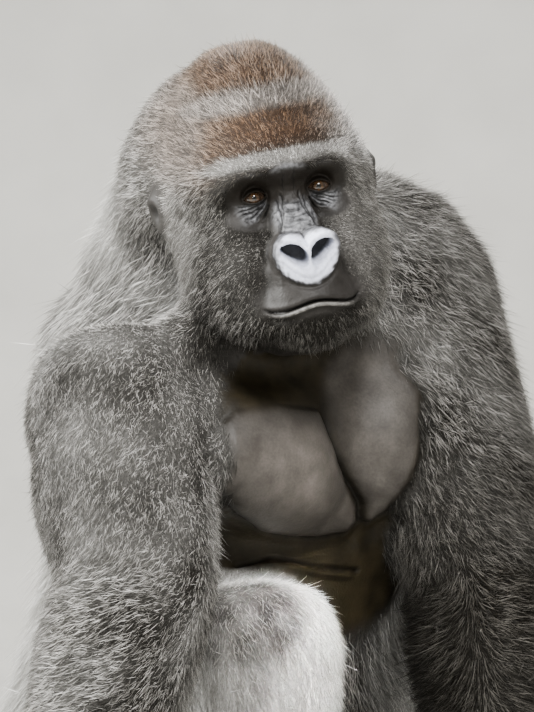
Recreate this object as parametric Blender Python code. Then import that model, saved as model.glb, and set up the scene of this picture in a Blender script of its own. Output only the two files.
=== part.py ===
"""A seated silverback gorilla, life size, as a still museum model.

Metres. +X is the animal's left, -Y is where its chest faces and +Z is up. The origin is on the
floor, below the middle of the model's box. Every size is that of the outside of the coat.

The flesh is modelled whole: lofted limbs and ellipsoid muscles are joined by a voxel remesh and
smoothed. Thin cuts then part it where a person would name its parts.
"""

import math

import bmesh
import bpy
from mathutils import Matrix, Vector

# The gap that a cut leaves.
GAP = 0.0004

# For each stretch of flesh: voxel size, rounds of smoothing and number of triangles.
BODY_MESH = (0.0060, 5, 1660)
HEAD_MESH = (0.0032, 6, 1080)
HAND_MESH = (0.0024, 5, 385)
FOOT_MESH = (0.0026, 5, 350)
TERRITORY_MESH = (0.0080, 4, 90)
TERRITORY_MARGIN = 0.008
TRIM_MARGIN = 0.030
FINENESS_PULL = 0.00002

# Joints of the trunk and limbs. R is the animal's right, L its left.
HEAD_CENTRE = Vector((-0.0752, -0.1095, 0.8955))
SHOULDER = {"R": Vector((-0.234, -0.050, 0.676)), "L": Vector((0.177, 0.004, 0.790))}
ELBOW = {"R": Vector((-0.298, -0.182, 0.488)), "L": Vector((0.185, -0.165, 0.455))}
WRIST = {"R": Vector((-0.385, -0.140, 0.125)), "L": Vector((0.175, -0.215, 0.125))}
HIP = {"R": Vector((-0.145, 0.160, 0.160)), "L": Vector((0.130, 0.160, 0.160))}
KNEE = {"R": Vector((-0.098, -0.128, 0.392)), "L": Vector((0.315, -0.005, 0.400))}
ANKLE = {"R": Vector((-0.120, -0.215, 0.085)), "L": Vector((0.330, -0.080, 0.085))}

# Where the hands and feet point on the floor, in degrees from straight ahead towards the left.
HAND_TURN = {"R": -12, "L": 8}
FOOT_TURN = {"R": -20, "L": 38}

# How the head is held: turned to the right, tipped to the right shoulder, and bowed.
HEAD_TURN, HEAD_TIP, HEAD_BOW = -22.6, -10.2, -4.2

# The trunk in level slices: height, middle in x, front y, back y, half width.
TRUNK_SLICES = (
    (-0.015, 0.000, 0.070, 0.320, 0.170),
    (0.040, 0.000, 0.030, 0.370, 0.235),
    (0.150, 0.002, -0.020, 0.395, 0.258),
    (0.280, 0.006, -0.065, 0.385, 0.240),
    (0.420, 0.010, -0.085, 0.345, 0.214),
    (0.540, 0.006, -0.110, 0.315, 0.204),
    (0.650, -0.006, -0.115, 0.290, 0.213),
    (0.750, -0.010, -0.085, 0.265, 0.196),
    (0.830, -0.015, -0.030, 0.230, 0.140),
    (0.885, -0.030, 0.000, 0.180, 0.080),
)

# The head in level slices in its own frame, x left, y back: height, front y, back y, half width.
HEAD_SLICES = (
    (0.187, 0.010, 0.090, 0.030),
    (0.172, -0.022, 0.128, 0.053),
    (0.142, -0.058, 0.162, 0.080),
    (0.108, -0.091, 0.174, 0.098),
    (0.070, -0.117, 0.180, 0.113),
    (0.040, -0.124, 0.180, 0.121),
    (0.008, -0.106, 0.174, 0.124),
    (-0.025, -0.104, 0.160, 0.121),
    (-0.065, -0.112, 0.135, 0.110),
    (-0.100, -0.114, 0.100, 0.095),
    (-0.132, -0.110, 0.060, 0.077),
    (-0.158, -0.102, 0.010, 0.058),
    (-0.182, -0.084, -0.020, 0.034),
)

# The muzzle in level slices: height, front y, back y, half width.
MUZZLE_SLICES = (
    (-0.040, -0.128, -0.040, 0.030),
    (-0.066, -0.146, -0.040, 0.042),
    (-0.092, -0.161, -0.040, 0.051),
    (-0.112, -0.171, -0.040, 0.055),
    (-0.130, -0.169, -0.040, 0.054),
    (-0.150, -0.155, -0.040, 0.046),
    (-0.174, -0.128, -0.040, 0.032),
)

# Eyes, lids, nose and ears in the head's frame, for the left side.
EYE_CENTRE, EYE_RADIUS = Vector((0.0368, -0.1015, 0.0070)), 0.0132
EAR_CENTRE = Vector((0.118, 0.030, 0.012))
NOSTRIL_CENTRE, NOSTRIL_SLANT = Vector((0.0172, -0.171, -0.066)), 24.0
NOSTRIL_SIZE = Vector((0.0135, 0.0170, 0.0078))

# Limb profiles: share of the way from joint to joint, half width across, half depth.
UPPER_ARM = ((-0.25, 0.080, 0.085), (0.00, 0.106, 0.108), (0.30, 0.108, 0.110), (0.66, 0.101, 0.102))
ELBOW_SIZE = (0.095, 0.096)
FOREARM = ((0.24, 0.098, 0.098), (0.55, 0.084, 0.086), (0.85, 0.065, 0.062), (1.02, 0.056, 0.047))
THIGH = ((-0.15, 0.100, 0.100), (0.10, 0.125, 0.125), (0.50, 0.112, 0.112), (0.85, 0.090, 0.092))
KNEE_SIZE = (0.100, 0.088)
SHIN = ((0.22, 0.092, 0.084), (0.50, 0.076, 0.076), (0.80, 0.060, 0.062), (1.00, 0.054, 0.056))

# Hands, feet and nails.
PALM_WIDTH, FINGER_SPACING, FINGER_RADIUS = 0.116, 0.0300, 0.0162
FOOT_LENGTH, FOOT_WIDTH, TOE_RADIUS = 0.275, 0.110, 0.0140


# Colour and roughness of each kind of surface.
COAT, SADDLE, SKIN, EYE, NAIL = "coat", "saddle", "skin", "eye", "nail"
FINISHES = {
    COAT: ((0.105, 0.098, 0.092), 0.85),
    SADDLE: ((0.300, 0.290, 0.270), 0.85),
    SKIN: ((0.060, 0.056, 0.056), 0.50),
    EYE: ((0.090, 0.045, 0.020), 0.08),
    NAIL: ((0.050, 0.045, 0.042), 0.40),
}
KINDS = {"thigh": SADDLE, "hand": SKIN, "foot": SKIN, "ear": SKIN, "eye": EYE, "nail": NAIL}


def spline(rows, steps):
    """Rows of numbers with smooth (Catmull-Rom) rows added between them."""
    rows = [Vector(row) for row in rows]
    ends = [2 * rows[0] - rows[1], *rows, 2 * rows[-1] - rows[-2]]
    smooth = []
    for before, start, end, after in zip(ends, ends[1:], ends[2:], ends[3:]):
        for step in range(steps):
            t = step / steps
            smooth.append(
                0.5
                * (
                    2 * start
                    + (end - before) * t
                    + (2 * before - 5 * start + 4 * end - after) * t**2
                    + (3 * start - before - 3 * end + after) * t**3
                )
            )
    return [*smooth, rows[-1]]


def skin_rings(bm, rings):
    """A closed body through rings of points, with flat ends."""
    loops = [[bm.verts.new(point) for point in ring] for ring in rings]
    count = len(loops[0])
    for low, high in zip(loops, loops[1:]):
        for i in range(count):
            j = (i + 1) % count
            bm.faces.new((low[i], low[j], high[j], high[i]))
    bm.faces.new(reversed(loops[0]))
    bm.faces.new(loops[-1])


def slices(bm, rows, sides=32, steps=3, fullness=2.3):
    """A body through level slices: height, middle x, front y, back y, half width."""
    rings = []
    for height, middle, front, back, half in spline(rows, steps):
        ring = []
        for i in range(sides):
            angle = 2 * math.pi * i / sides
            c, s = math.cos(angle), math.sin(angle)
            x = half * math.copysign(abs(c) ** (2 / fullness), c)
            y = (back - front) / 2 * math.copysign(abs(s) ** (2 / fullness), s)
            ring.append((middle + x, (front + back) / 2 + y, height))
        rings.append(ring)
    skin_rings(bm, rings)


def limb(bm, rows, across, sides=20, steps=4):
    """A body along a path: rows of x, y, z, half width along across, half depth."""
    rows = spline([(*point, wide, deep) for point, wide, deep in rows], steps)
    points = [row.to_3d() if len(row) == 3 else Vector(row[:3]) for row in rows]
    rings = []
    for i, row in enumerate(rows):
        along = (points[min(i + 1, len(rows) - 1)] - points[max(i - 1, 0)]).normalized()
        side = (across - along * across.dot(along)).normalized()
        deep = side.cross(along)
        ring = []
        for k in range(sides):
            angle = 2 * math.pi * k / sides
            ring.append(points[i] + side * row[3] * math.cos(angle) - deep * row[4] * math.sin(angle))
        rings.append(ring)
    skin_rings(bm, rings)


def ellipsoid(bm, centre, radii, turn=(0, 0, 0), fineness=3):
    """An ellipsoid, turned by degrees about x, y and z."""
    turned = Matrix.Rotation(math.radians(turn[2]), 4, "Z")
    turned = turned @ Matrix.Rotation(math.radians(turn[1]), 4, "Y")
    turned = turned @ Matrix.Rotation(math.radians(turn[0]), 4, "X")
    place = Matrix.Translation(centre) @ turned @ Matrix.Diagonal((*radii, 1))
    bmesh.ops.create_icosphere(bm, subdivisions=fineness, radius=1, matrix=place)


def mirrored(point, side):
    """A point given for the left side, on side 1 (left) or -1 (right)."""
    return Vector((side * point[0], point[1], point[2]))


def head_matrix():
    turn = Matrix.Rotation(math.radians(HEAD_TURN), 4, "Z")
    tip = Matrix.Rotation(math.radians(HEAD_TIP), 4, "Y")
    bow = Matrix.Rotation(math.radians(HEAD_BOW), 4, "X")
    return Matrix.Translation(HEAD_CENTRE) @ turn @ tip @ bow


def along_bone(start, end, profile):
    """Limb rows for a profile of shares of the way from start to end."""
    return [(start.lerp(end, share), wide, deep) for share, wide, deep in profile]


def add_trunk(bm):
    slices(bm, TRUNK_SLICES)
    # The hump of the upper back, the ridge of muscle to each shoulder and the wings of the back.
    ellipsoid(bm, (-0.014, 0.130, 0.806), (0.160, 0.130, 0.118), (-20, 4, 0))
    ellipsoid(bm, (-0.064, 0.085, 0.870), (0.100, 0.110, 0.100), (-20, 0, 0))
    ellipsoid(bm, (0.072, 0.046, 0.842), (0.116, 0.090, 0.084), (0, 14, 0))
    ellipsoid(bm, (0.146, 0.030, 0.858), (0.100, 0.085, 0.078), (0, 10, 0))
    ellipsoid(bm, (-0.156, 0.070, 0.648), (0.086, 0.110, 0.118), (0, -14, 0))
    ellipsoid(bm, (0.135, 0.090, 0.715), (0.090, 0.110, 0.130), (0, 10, 0))
    for side in (-1, 1):
        ellipsoid(bm, (side * 0.085 - 0.008, 0.190, 0.650), (0.108, 0.088, 0.160), (-12, side * 8, 0))
    # The nape, which runs up to the crest.
    nape = [
        (Vector((0.000, 0.130, 0.700)), 0.170, 0.125),
        (Vector((-0.028, 0.080, 0.840)), 0.148, 0.125),
        (Vector((-0.060, 0.010, 0.935)), 0.122, 0.120),
        (Vector((-0.074, -0.045, 0.980)), 0.094, 0.102),
    ]
    limb(bm, nape, Vector((1, 0, 0)))
    # The throat.
    ellipsoid(bm, (-0.045, -0.050, 0.790), (0.095, 0.100, 0.090), (35, 0, -15))
    # Chest muscles, hanging a little over the belly.
    ellipsoid(bm, (-0.096, -0.095, 0.618), (0.136, 0.082, 0.100), (-10, 10, 10))
    ellipsoid(bm, (0.110, -0.082, 0.622), (0.118, 0.080, 0.104), (-10, -6, -10))
    ellipsoid(bm, (-0.100, -0.060, 0.705), (0.130, 0.070, 0.072), (0, 18, 10))
    ellipsoid(bm, (0.105, -0.050, 0.725), (0.130, 0.070, 0.072), (0, -12, -10))
    # Buttocks.
    for side in (-1, 1):
        ellipsoid(bm, (side * 0.120, 0.240, 0.110), (0.140, 0.140, 0.125))


def add_arm(bm, side):
    rows = along_bone(SHOULDER[side], ELBOW[side], UPPER_ARM)
    rows.append((ELBOW[side], *ELBOW_SIZE))
    rows += along_bone(ELBOW[side], WRIST[side], FOREARM)
    limb(bm, rows, Vector((1, 0, 0)))
    # The deltoid caps the shoulder, and the triceps fills the back of the arm.
    sign = 1 if side == "L" else -1
    out = Vector((sign * 0.020, 0.002, -0.024))
    ellipsoid(bm, SHOULDER[side] + out, (0.099, 0.112, 0.116), (0, sign * 20, 0))
    triceps = SHOULDER[side].lerp(ELBOW[side], 0.55) + Vector((sign * 0.012, 0.020, 0))
    ellipsoid(bm, triceps, (0.094, 0.100, 0.150), (-14, 0, 0))


def hand_frame(side):
    turn = Matrix.Rotation(math.radians(HAND_TURN[side]), 4, "Z")
    return Matrix.Translation((WRIST[side].x, WRIST[side].y, 0)) @ turn


def hand_digits(side):
    """Each finger's and thumb's rows in the hand's frame, with its nail's point, outward way and length."""
    sign = 1 if side == "L" else -1
    r = FINGER_RADIUS
    digits = []
    for finger in range(4):
        x = (finger - 1.5) * FINGER_SPACING
        reach = (0.000, -0.007, -0.006, 0.004)[finger if sign < 0 else 3 - finger]
        rows = [
            (Vector((x, -0.036, 0.080)), r * 1.10, r * 1.10),
            (Vector((x, -0.070 + reach, 0.046)), r, r),
            (Vector((x, -0.076 + reach, r * 0.88)), r, r),
            (Vector((x, -0.038 + reach, r * 0.78)), r * 0.95, r * 0.92),
            (Vector((x, -0.012 + reach, r * 1.10)), r * 0.86, r * 0.86),
            (Vector((x, -0.004 + reach, r * 2.00)), r * 0.74, r * 0.74),
        ]
        digits.append((rows, Vector((x, 0.0065 + reach, r * 1.75)), Vector((0, 1, -0.15)), Vector((0, 0.15, 1))))
    thumb = [
        (Vector((-sign * 0.042, 0.002, 0.124)), 0.019, 0.019),
        (Vector((-sign * 0.066, -0.008, 0.088)), 0.0160, 0.0160),
        (Vector((-sign * 0.073, -0.018, 0.058)), 0.0130, 0.0130),
        (Vector((-sign * 0.073, -0.024, 0.038)), 0.0100, 0.0100),
    ]
    digits.append((thumb, Vector((-sign * 0.073, -0.0315, 0.046)), Vector((0, -1, 0.25)), Vector((0, 0.2, 1))))
    return digits


def add_hand(bm, side):
    """A hand resting on the backs of its middle finger bones, as a gorilla leans on it."""
    place = hand_frame(side)
    half = PALM_WIDTH / 2
    palm = [
        (Vector((0, 0.004, 0.156)), 0.050, 0.044),
        (Vector((0, -0.004, 0.120)), half * 0.95, 0.038),
        (Vector((0, -0.022, 0.086)), half, 0.032),
        (Vector((0, -0.038, 0.064)), half * 0.90, 0.024),
    ]
    limb(bm, [(place @ point, wide, deep) for point, wide, deep in palm], place.to_3x3() @ Vector((1, 0, 0)))
    for number, (rows, *_) in enumerate(hand_digits(side)):
        across = Vector((1, 0, 0)) if number < 4 else Vector((0, 1, 0))
        limb(bm, [(place @ point, wide, deep) for point, wide, deep in rows], across, 12, 3)


def add_leg(bm, side):
    rows = along_bone(HIP[side], KNEE[side], THIGH)
    rows.append((KNEE[side] + Vector((0, 0, 0.012)), *KNEE_SIZE))
    rows += along_bone(KNEE[side], ANKLE[side], SHIN)
    limb(bm, rows, (KNEE[side] - HIP[side]).cross(ANKLE[side] - KNEE[side]))
    # The calf behind the shin.
    calf = KNEE[side].lerp(ANKLE[side], 0.42) + (HIP[side] - KNEE[side]).normalized() * 0.030
    ellipsoid(bm, calf, (0.058, 0.062, 0.105))


def foot_frame(side):
    turn = Matrix.Rotation(math.radians(FOOT_TURN[side]), 4, "Z")
    return Matrix.Translation((ANKLE[side].x, ANKLE[side].y, 0)) @ turn


def foot_digits(side):
    """Each toe's rows in the foot's frame, with its nail's point, outward way and length."""
    sign, toe_line = 1 if side == "L" else -1, 0.050 - FOOT_LENGTH * 0.78
    digits = []
    for toe in range(4):
        x = sign * (0.008 + (toe - 1.3) * 0.0275)
        reach = (0.000, 0.004, 0.010, 0.020)[toe]
        r = TOE_RADIUS * (1.0, 1.0, 0.95, 0.88)[toe]
        rows = [
            (Vector((x, toe_line + 0.020, r * 1.1)), r, r),
            (Vector((x, toe_line - 0.024 + reach, r * 1.3)), r, r),
            (Vector((x, toe_line - 0.052 + reach, r * 0.85)), r * 0.94, r * 0.90),
            (Vector((x, toe_line - 0.066 + reach, r * 0.8)), r * 0.62, r * 0.62),
        ]
        tip = Vector((x, toe_line - 0.0600 + reach, r * 1.42))
        digits.append((rows, tip, Vector((0, -0.55, 1)), Vector((0, 1, 0.5))))
    hallux = [
        (Vector((-sign * 0.026, -0.030, 0.030)), 0.030, 0.030),
        (Vector((-sign * 0.054, -0.075, 0.023)), 0.024, 0.023),
        (Vector((-sign * 0.069, -0.120, 0.0175)), 0.0195, 0.0195),
        (Vector((-sign * 0.071, -0.146, 0.014)), 0.0130, 0.0130),
    ]
    tip = Vector((-sign * 0.0705, -0.1375, 0.0275))
    digits.append((hallux, tip, Vector((0, -0.50, 1)), Vector((0, 1, 0.5))))
    return digits


def add_foot(bm, side):
    """A flat foot with a big toe that stands off like a thumb."""
    place, sign = foot_frame(side), 1 if side == "L" else -1
    half, toe_line = FOOT_WIDTH / 2, 0.050 - FOOT_LENGTH * 0.78
    sole = [
        (Vector((0, 0.068, 0.028)), 0.028, 0.028),
        (Vector((0, 0.042, 0.040)), 0.043, 0.046),
        (Vector((0, -0.010, 0.044)), 0.046, 0.050),
        (Vector((sign * 0.004, -0.070, 0.034)), half * 0.86, 0.038),
        (Vector((sign * 0.008, -0.125, 0.024)), half, 0.028),
        (Vector((sign * 0.008, toe_line, 0.017)), half * 0.92, 0.020),
    ]
    limb(bm, [(place @ point, wide, deep) for point, wide, deep in sole], place.to_3x3() @ Vector((1, 0, 0)))
    for rows, *_ in foot_digits(side):
        limb(bm, [(place @ point, wide, deep) for point, wide, deep in rows], Vector((1, 0, 0)), 12, 3)


def add_head(bm):
    """The head in its own frame: x left, y back, z up, with its centre between the ears."""
    slices(bm, [(z, 0, front, back, half) for z, front, back, half in HEAD_SLICES], fullness=2.15)
    slices(bm, [(z, 0, front, back, half) for z, front, back, half in MUZZLE_SLICES], fullness=2.4)
    brow = [
        (Vector((-0.092, -0.058, -0.012)), 0.008, 0.008),
        (Vector((-0.080, -0.084, 0.008)), 0.013, 0.013),
        (Vector((-0.062, -0.108, 0.028)), 0.016, 0.016),
        (Vector((-0.034, -0.121, 0.037)), 0.018, 0.017),
        (Vector((0.000, -0.121, 0.033)), 0.018, 0.018),
        (Vector((0.034, -0.121, 0.037)), 0.018, 0.017),
        (Vector((0.062, -0.108, 0.028)), 0.016, 0.016),
        (Vector((0.080, -0.084, 0.008)), 0.013, 0.013),
        (Vector((0.092, -0.058, -0.012)), 0.008, 0.008),
    ]
    limb(bm, brow, Vector((0, 1, 0)))
    bridge = [
        (Vector((0, -0.100, 0.026)), 0.021, 0.018),
        (Vector((0, -0.108, 0.000)), 0.017, 0.018),
        (Vector((0, -0.120, -0.024)), 0.026, 0.018),
        (Vector((0, -0.134, -0.048)), 0.036, 0.018),
    ]
    limb(bm, bridge, Vector((1, 0, 0)))
    # The forehead behind the brow and the lip under the nose.
    ellipsoid(bm, (0, -0.078, 0.052), (0.078, 0.050, 0.042), (-30, 0, 0))
    ellipsoid(bm, (0, -0.138, -0.100), (0.044, 0.028, 0.024))
    # The broad heart-shaped nose: a pad with a swelling over each nostril.
    ellipsoid(bm, (0, -0.146, -0.074), (0.041, 0.027, 0.030), (8, 0, 0))
    for side in (-1, 1):
        ellipsoid(bm, (side * 0.0215, -0.152, -0.058), (0.0220, 0.0210, 0.0200), (0, -side * 20, 0))
        # Cheekbone, lids, the furred cheek beside the muzzle and the broad jaw.
        ellipsoid(bm, (side * 0.056, -0.078, -0.030), (0.038, 0.032, 0.032), (0, side * 12, 0))
        ellipsoid(bm, mirrored(EYE_CENTRE, side), (0.0225, 0.0158, 0.0155))
        ellipsoid(bm, (side * 0.056, -0.072, -0.092), (0.046, 0.060, 0.070), (0, -side * 8, 0))
        ellipsoid(bm, (side * 0.048, -0.100, -0.122), (0.030, 0.040, 0.034), (0, 0, side * 20))
        ellipsoid(bm, (side * 0.078, -0.010, -0.066), (0.044, 0.090, 0.078))
    # Lips and chin.
    for z, front, thick in ((-0.1115, -0.1665, 0.0080), (-0.1275, -0.1645, 0.0088)):
        lip = []
        for x in (-1.0, -0.8, -0.5, -0.2, 0.2, 0.5, 0.8, 1.0):
            middle = Vector((x * 0.055, front + 0.046 * x * x, (z + 0.1195) * (1 - x * x) - 0.1195 - 0.005 * x * x))
            lip.append((middle, thick * (1 - 0.62 * x**4), thick * (1 - 0.62 * x**4)))
        limb(bm, lip, Vector((0, 1, 0)), 14, 3)
    ellipsoid(bm, (0, -0.118, -0.152), (0.042, 0.036, 0.028))


def add_ear(bm, side):
    """A small ear in the head's frame, standing off its side."""
    centre = mirrored(EAR_CENTRE, side)
    ellipsoid(bm, centre, (0.010, 0.021, 0.030), (0, side * 12, side * -22))


def mesh_object(bm, name):
    bmesh.ops.recalc_face_normals(bm, faces=bm.faces)
    mesh = bpy.data.meshes.new(name)
    bm.to_mesh(mesh)
    bm.free()
    obj = bpy.data.objects.new(name, mesh)
    bpy.context.scene.collection.objects.link(obj)
    return obj


def settle(obj):
    """Applies the object's modifiers."""
    graph = bpy.context.evaluated_depsgraph_get()
    mesh = bpy.data.meshes.new_from_object(obj.evaluated_get(graph))
    obj.modifiers.clear()
    obj.data = mesh
    return obj


def thin_out(obj, triangles, keep=None):
    """Cuts the mesh down to a number of triangles. keep gives the finer parts' weight at a point."""
    decimate = obj.modifiers.new("Thin out", "DECIMATE")
    decimate.use_collapse_triangulate = True
    decimate.ratio = triangles / sum(len(face.vertices) - 2 for face in obj.data.polygons)
    if keep:
        group = obj.vertex_groups.new(name="keep")
        for vertex in obj.data.vertices:
            group.add([vertex.index], keep(vertex.co), "REPLACE")
        decimate.vertex_group = group.name
        decimate.invert_vertex_group = True
        decimate.vertex_group_factor = FINENESS_PULL
    settle(obj)
    obj.vertex_groups.clear()
    return obj


def joined(obj, voxel, smoothing):
    """One closed skin round all of the object's bodies, with their joins smoothed."""
    remesh = obj.modifiers.new("Join", "REMESH")
    remesh.mode = "VOXEL"
    remesh.voxel_size = voxel
    smooth = obj.modifiers.new("Blend", "SMOOTH")
    smooth.factor = 0.5
    smooth.iterations = smoothing
    return settle(obj)


def face_weight(point):
    """Near 1 on the face, where the form is fine, and 0 elsewhere."""
    local = head_matrix().inverted() @ point
    if local.y < -0.050 and abs(local.x) < 0.080 and -0.190 < local.z < 0.060:
        return 0.9
    return 0.0


def add_placed(bm, place, builder, *arguments):
    """Adds what the builder makes, moved to its place."""
    own = bmesh.new()
    builder(own, *arguments)
    own.transform(place)
    carried = bpy.data.meshes.new("forms")
    own.to_mesh(carried)
    own.free()
    bm.from_mesh(carried)
    bpy.data.meshes.remove(carried)


def add_whole_head(bm):
    add_placed(bm, head_matrix(), add_head)
    for side in (-1, 1):
        add_placed(bm, head_matrix(), add_ear, side)


def trimmed(obj, point, normal):
    """Cuts away what lies behind a plane and closes the cut."""
    bm = bmesh.new()
    bm.from_mesh(obj.data)
    every = [*bm.verts, *bm.edges, *bm.faces]
    bmesh.ops.bisect_plane(bm, geom=every, plane_co=point, plane_no=normal, clear_inner=True)
    bmesh.ops.holes_fill(bm, edges=[edge for edge in bm.edges if edge.is_boundary])
    bm.to_mesh(obj.data)
    bm.free()
    keep_largest_body(obj)
    return obj


def formed(name, mesh, builders, trim=None, keep=None):
    """A closed mesh round all the forms that the builders add, trimmed and then thinned out."""
    voxel, smoothing, triangles = mesh
    bm = bmesh.new()
    for builder, *arguments in builders:
        builder(bm, *arguments)
    obj = joined(mesh_object(bm, name), voxel, smoothing)
    if trim:
        point, normal = trim
        obj = trimmed(obj, point - normal.normalized() * TRIM_MARGIN, normal)
    return thin_out(obj, triangles, keep)


def boolean(obj, cutter, operation):
    """A new object: obj after a Boolean with the cutter, without loose crumbs."""
    result = obj.copy()
    result.data = obj.data.copy()
    bpy.context.scene.collection.objects.link(result)
    modifier = result.modifiers.new("Cut", "BOOLEAN")
    modifier.operation = operation
    modifier.object = cutter
    settle(result)
    keep_largest_body(result)
    return result


def keep_largest_body(obj):
    bm = bmesh.new()
    bm.from_mesh(obj.data)
    unseen, bodies = set(bm.verts), []
    while unseen:
        body, front = set(), {unseen.pop()}
        while front:
            vertex = front.pop()
            body.add(vertex)
            for edge in vertex.link_edges:
                other = edge.other_vert(vertex)
                if other in unseen:
                    unseen.discard(other)
                    front.add(other)
        bodies.append(body)
    largest = max(bodies, key=len)
    crumbs = [vertex for body in bodies if body is not largest for vertex in body]
    bmesh.ops.delete(bm, geom=crumbs, context="VERTS")
    bmesh.ops.triangulate(bm, faces=bm.faces)
    bm.to_mesh(obj.data)
    bm.free()


def push_out(obj, amount):
    """Moves every face of the mesh outwards by about the same amount."""
    bm = bmesh.new()
    bm.from_mesh(obj.data)
    moves = [vertex.normal * amount * vertex.calc_shell_factor() for vertex in bm.verts]
    for vertex, move in zip(bm.verts, moves):
        vertex.co += move
    bm.to_mesh(obj.data)
    bm.free()


def grown(obj, amount):
    """A copy of a cutter whose surface is moved outwards."""
    copy = obj.copy()
    copy.data = obj.data.copy()
    bpy.context.scene.collection.objects.link(copy)
    push_out(copy, amount)
    return copy


def discard(*objects):
    for obj in objects:
        bpy.data.objects.remove(obj)


def split(obj, cutter, inside, outside):
    """Parts obj with a thin gap into what lies inside the cutter and what lies outside it."""
    larger = grown(cutter, GAP)
    inner = boolean(obj, cutter, "INTERSECT")
    outer = boolean(obj, larger, "DIFFERENCE")
    discard(obj, cutter, larger)
    inner.name = inner.data.name = inside
    outer.name = outer.data.name = outside
    return inner, outer


def half_space(point, normal):
    """A large box whose face passes through point, on the side that normal points to."""
    size = 1.2
    bm = bmesh.new()
    turn = Vector(normal).to_track_quat("Z", "Y").to_matrix().to_4x4()
    place = Matrix.Translation(point) @ turn @ Matrix.Translation((0, 0, size / 2))
    bmesh.ops.create_cube(bm, size=size, matrix=place)
    return mesh_object(bm, "half_space")


def territory(name, *builders):
    """A cutter a little larger than the forms that the builders add."""
    obj = formed(name, TERRITORY_MESH, builders)
    push_out(obj, TERRITORY_MARGIN)
    return obj


def add_ear_territory(bm, side):
    centre = mirrored(EAR_CENTRE, side) + Vector((side * 0.004, 0, 0))
    ellipsoid(bm, centre, (0.016, 0.028, 0.037), (0, side * 12, side * -22), 2)


def fine_end(name, mesh, builders, plane, neighbours=(), keep=None):
    """A hand, a foot or the head, made finer than the body, cut off at a plane, at its neighbours and at the floor."""
    cutters = [(half_space(*plane), "INTERSECT"), (floor_space(), "DIFFERENCE")]
    cutters += [(neighbour, "DIFFERENCE") for neighbour in neighbours]
    obj = formed(name, mesh, builders, plane, keep)
    for cutter, operation in cutters:
        cut = boolean(obj, cutter, operation)
        discard(obj, cutter)
        obj = cut
    obj.name = name
    return obj


def floor_space():
    return half_space(Vector((0, 0, 0)), Vector((0, 0, -1)))


def cut_off(obj, plane):
    """Removes what lies in front of a plane, and a thin gap behind it."""
    space = half_space(*plane)
    larger = grown(space, GAP)
    rest = boolean(obj, larger, "DIFFERENCE")
    discard(obj, space, larger)
    return rest


def bend_plane(start, joint, end):
    """The plane that halves the bend at a joint, facing the limb's far end."""
    return joint, (joint - start).normalized() + (end - joint).normalized()


def part_limbs(flesh):
    """Parts arms and legs from the flesh and at their joints, and adds finer hands and feet."""
    parts, arms = [], []
    for side in ("R", "L"):
        wrist = (WRIST[side].lerp(ELBOW[side], 0.02), WRIST[side] - ELBOW[side])
        ankle = (ANKLE[side].lerp(KNEE[side], 0.06), ANKLE[side] - KNEE[side])
        arm_forms = ((add_arm, side), (add_hand, side))
        leg_forms = ((add_leg, side), (add_foot, side))
        for limb_forms, end_plane, elbow_plane, upper_name, lower_name in (
            (
                arm_forms,
                wrist,
                bend_plane(SHOULDER[side], ELBOW[side], WRIST[side]),
                f"upper_arm_{side}",
                f"forearm_{side}",
            ),
            (
                leg_forms,
                ankle,
                bend_plane(HIP[side], KNEE[side], ANKLE[side]),
                f"thigh_{side}",
                f"shin_{side}",
            ),
        ):
            cutter = territory("territory", *limb_forms)
            if limb_forms is arm_forms:
                arms.append(grown(cutter, GAP))
            whole_limb, flesh = split(flesh, cutter, "limb", "flesh")
            whole_limb = cut_off(whole_limb, end_plane)
            lower, upper = split(whole_limb, half_space(*elbow_plane), lower_name, upper_name)
            parts += [lower, upper]
        parts.append(fine_end(f"hand_{side}", HAND_MESH, arm_forms, wrist))
        parts.append(fine_end(f"foot_{side}", FOOT_MESH, leg_forms, ankle))
    return parts, flesh, arms


def part_head(flesh, arms):
    """Parts the flesh without its limbs into neck and trunk, and adds the finer head with eyes and ears."""
    frame = head_matrix()
    turn = frame.to_3x3()
    nape = (frame @ Vector((0, -0.030, -0.172)), turn @ Vector((0, -0.80, 0.60)))
    head = fine_end("head", HEAD_MESH, ((add_whole_head,), (add_trunk,)), nape, arms, face_weight)
    body = cut_off(flesh, nape)
    collar = half_space(Vector((-0.030, 0.050, 0.800)), Vector((0, -0.35, 0.94)))
    neck, trunk = split(body, collar, "neck", "trunk")
    parts = [neck, trunk]
    for side, name in ((-1, "R"), (1, "L")):
        bm = bmesh.new()
        add_placed(bm, frame, add_ear_territory, side)
        ear, head = split(head, mesh_object(bm, "ear"), "ear_" + name, "head")
        head, eye = set_eye(head, frame, side, "eye_" + name)
        head = open_nostril(head, frame, side)
        parts += [ear, eye]
    head.name = "head"
    return [*parts, head]


def add_nostril(bm, side):
    centre = mirrored(NOSTRIL_CENTRE, side)
    ellipsoid(bm, centre, NOSTRIL_SIZE, (0, -side * NOSTRIL_SLANT, 0), 2)


def open_nostril(head, frame, side):
    bm = bmesh.new()
    add_placed(bm, frame, add_nostril, side)
    cutter = mesh_object(bm, "nostril")
    opened = boolean(head, cutter, "DIFFERENCE")
    discard(head, cutter)
    return opened


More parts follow.
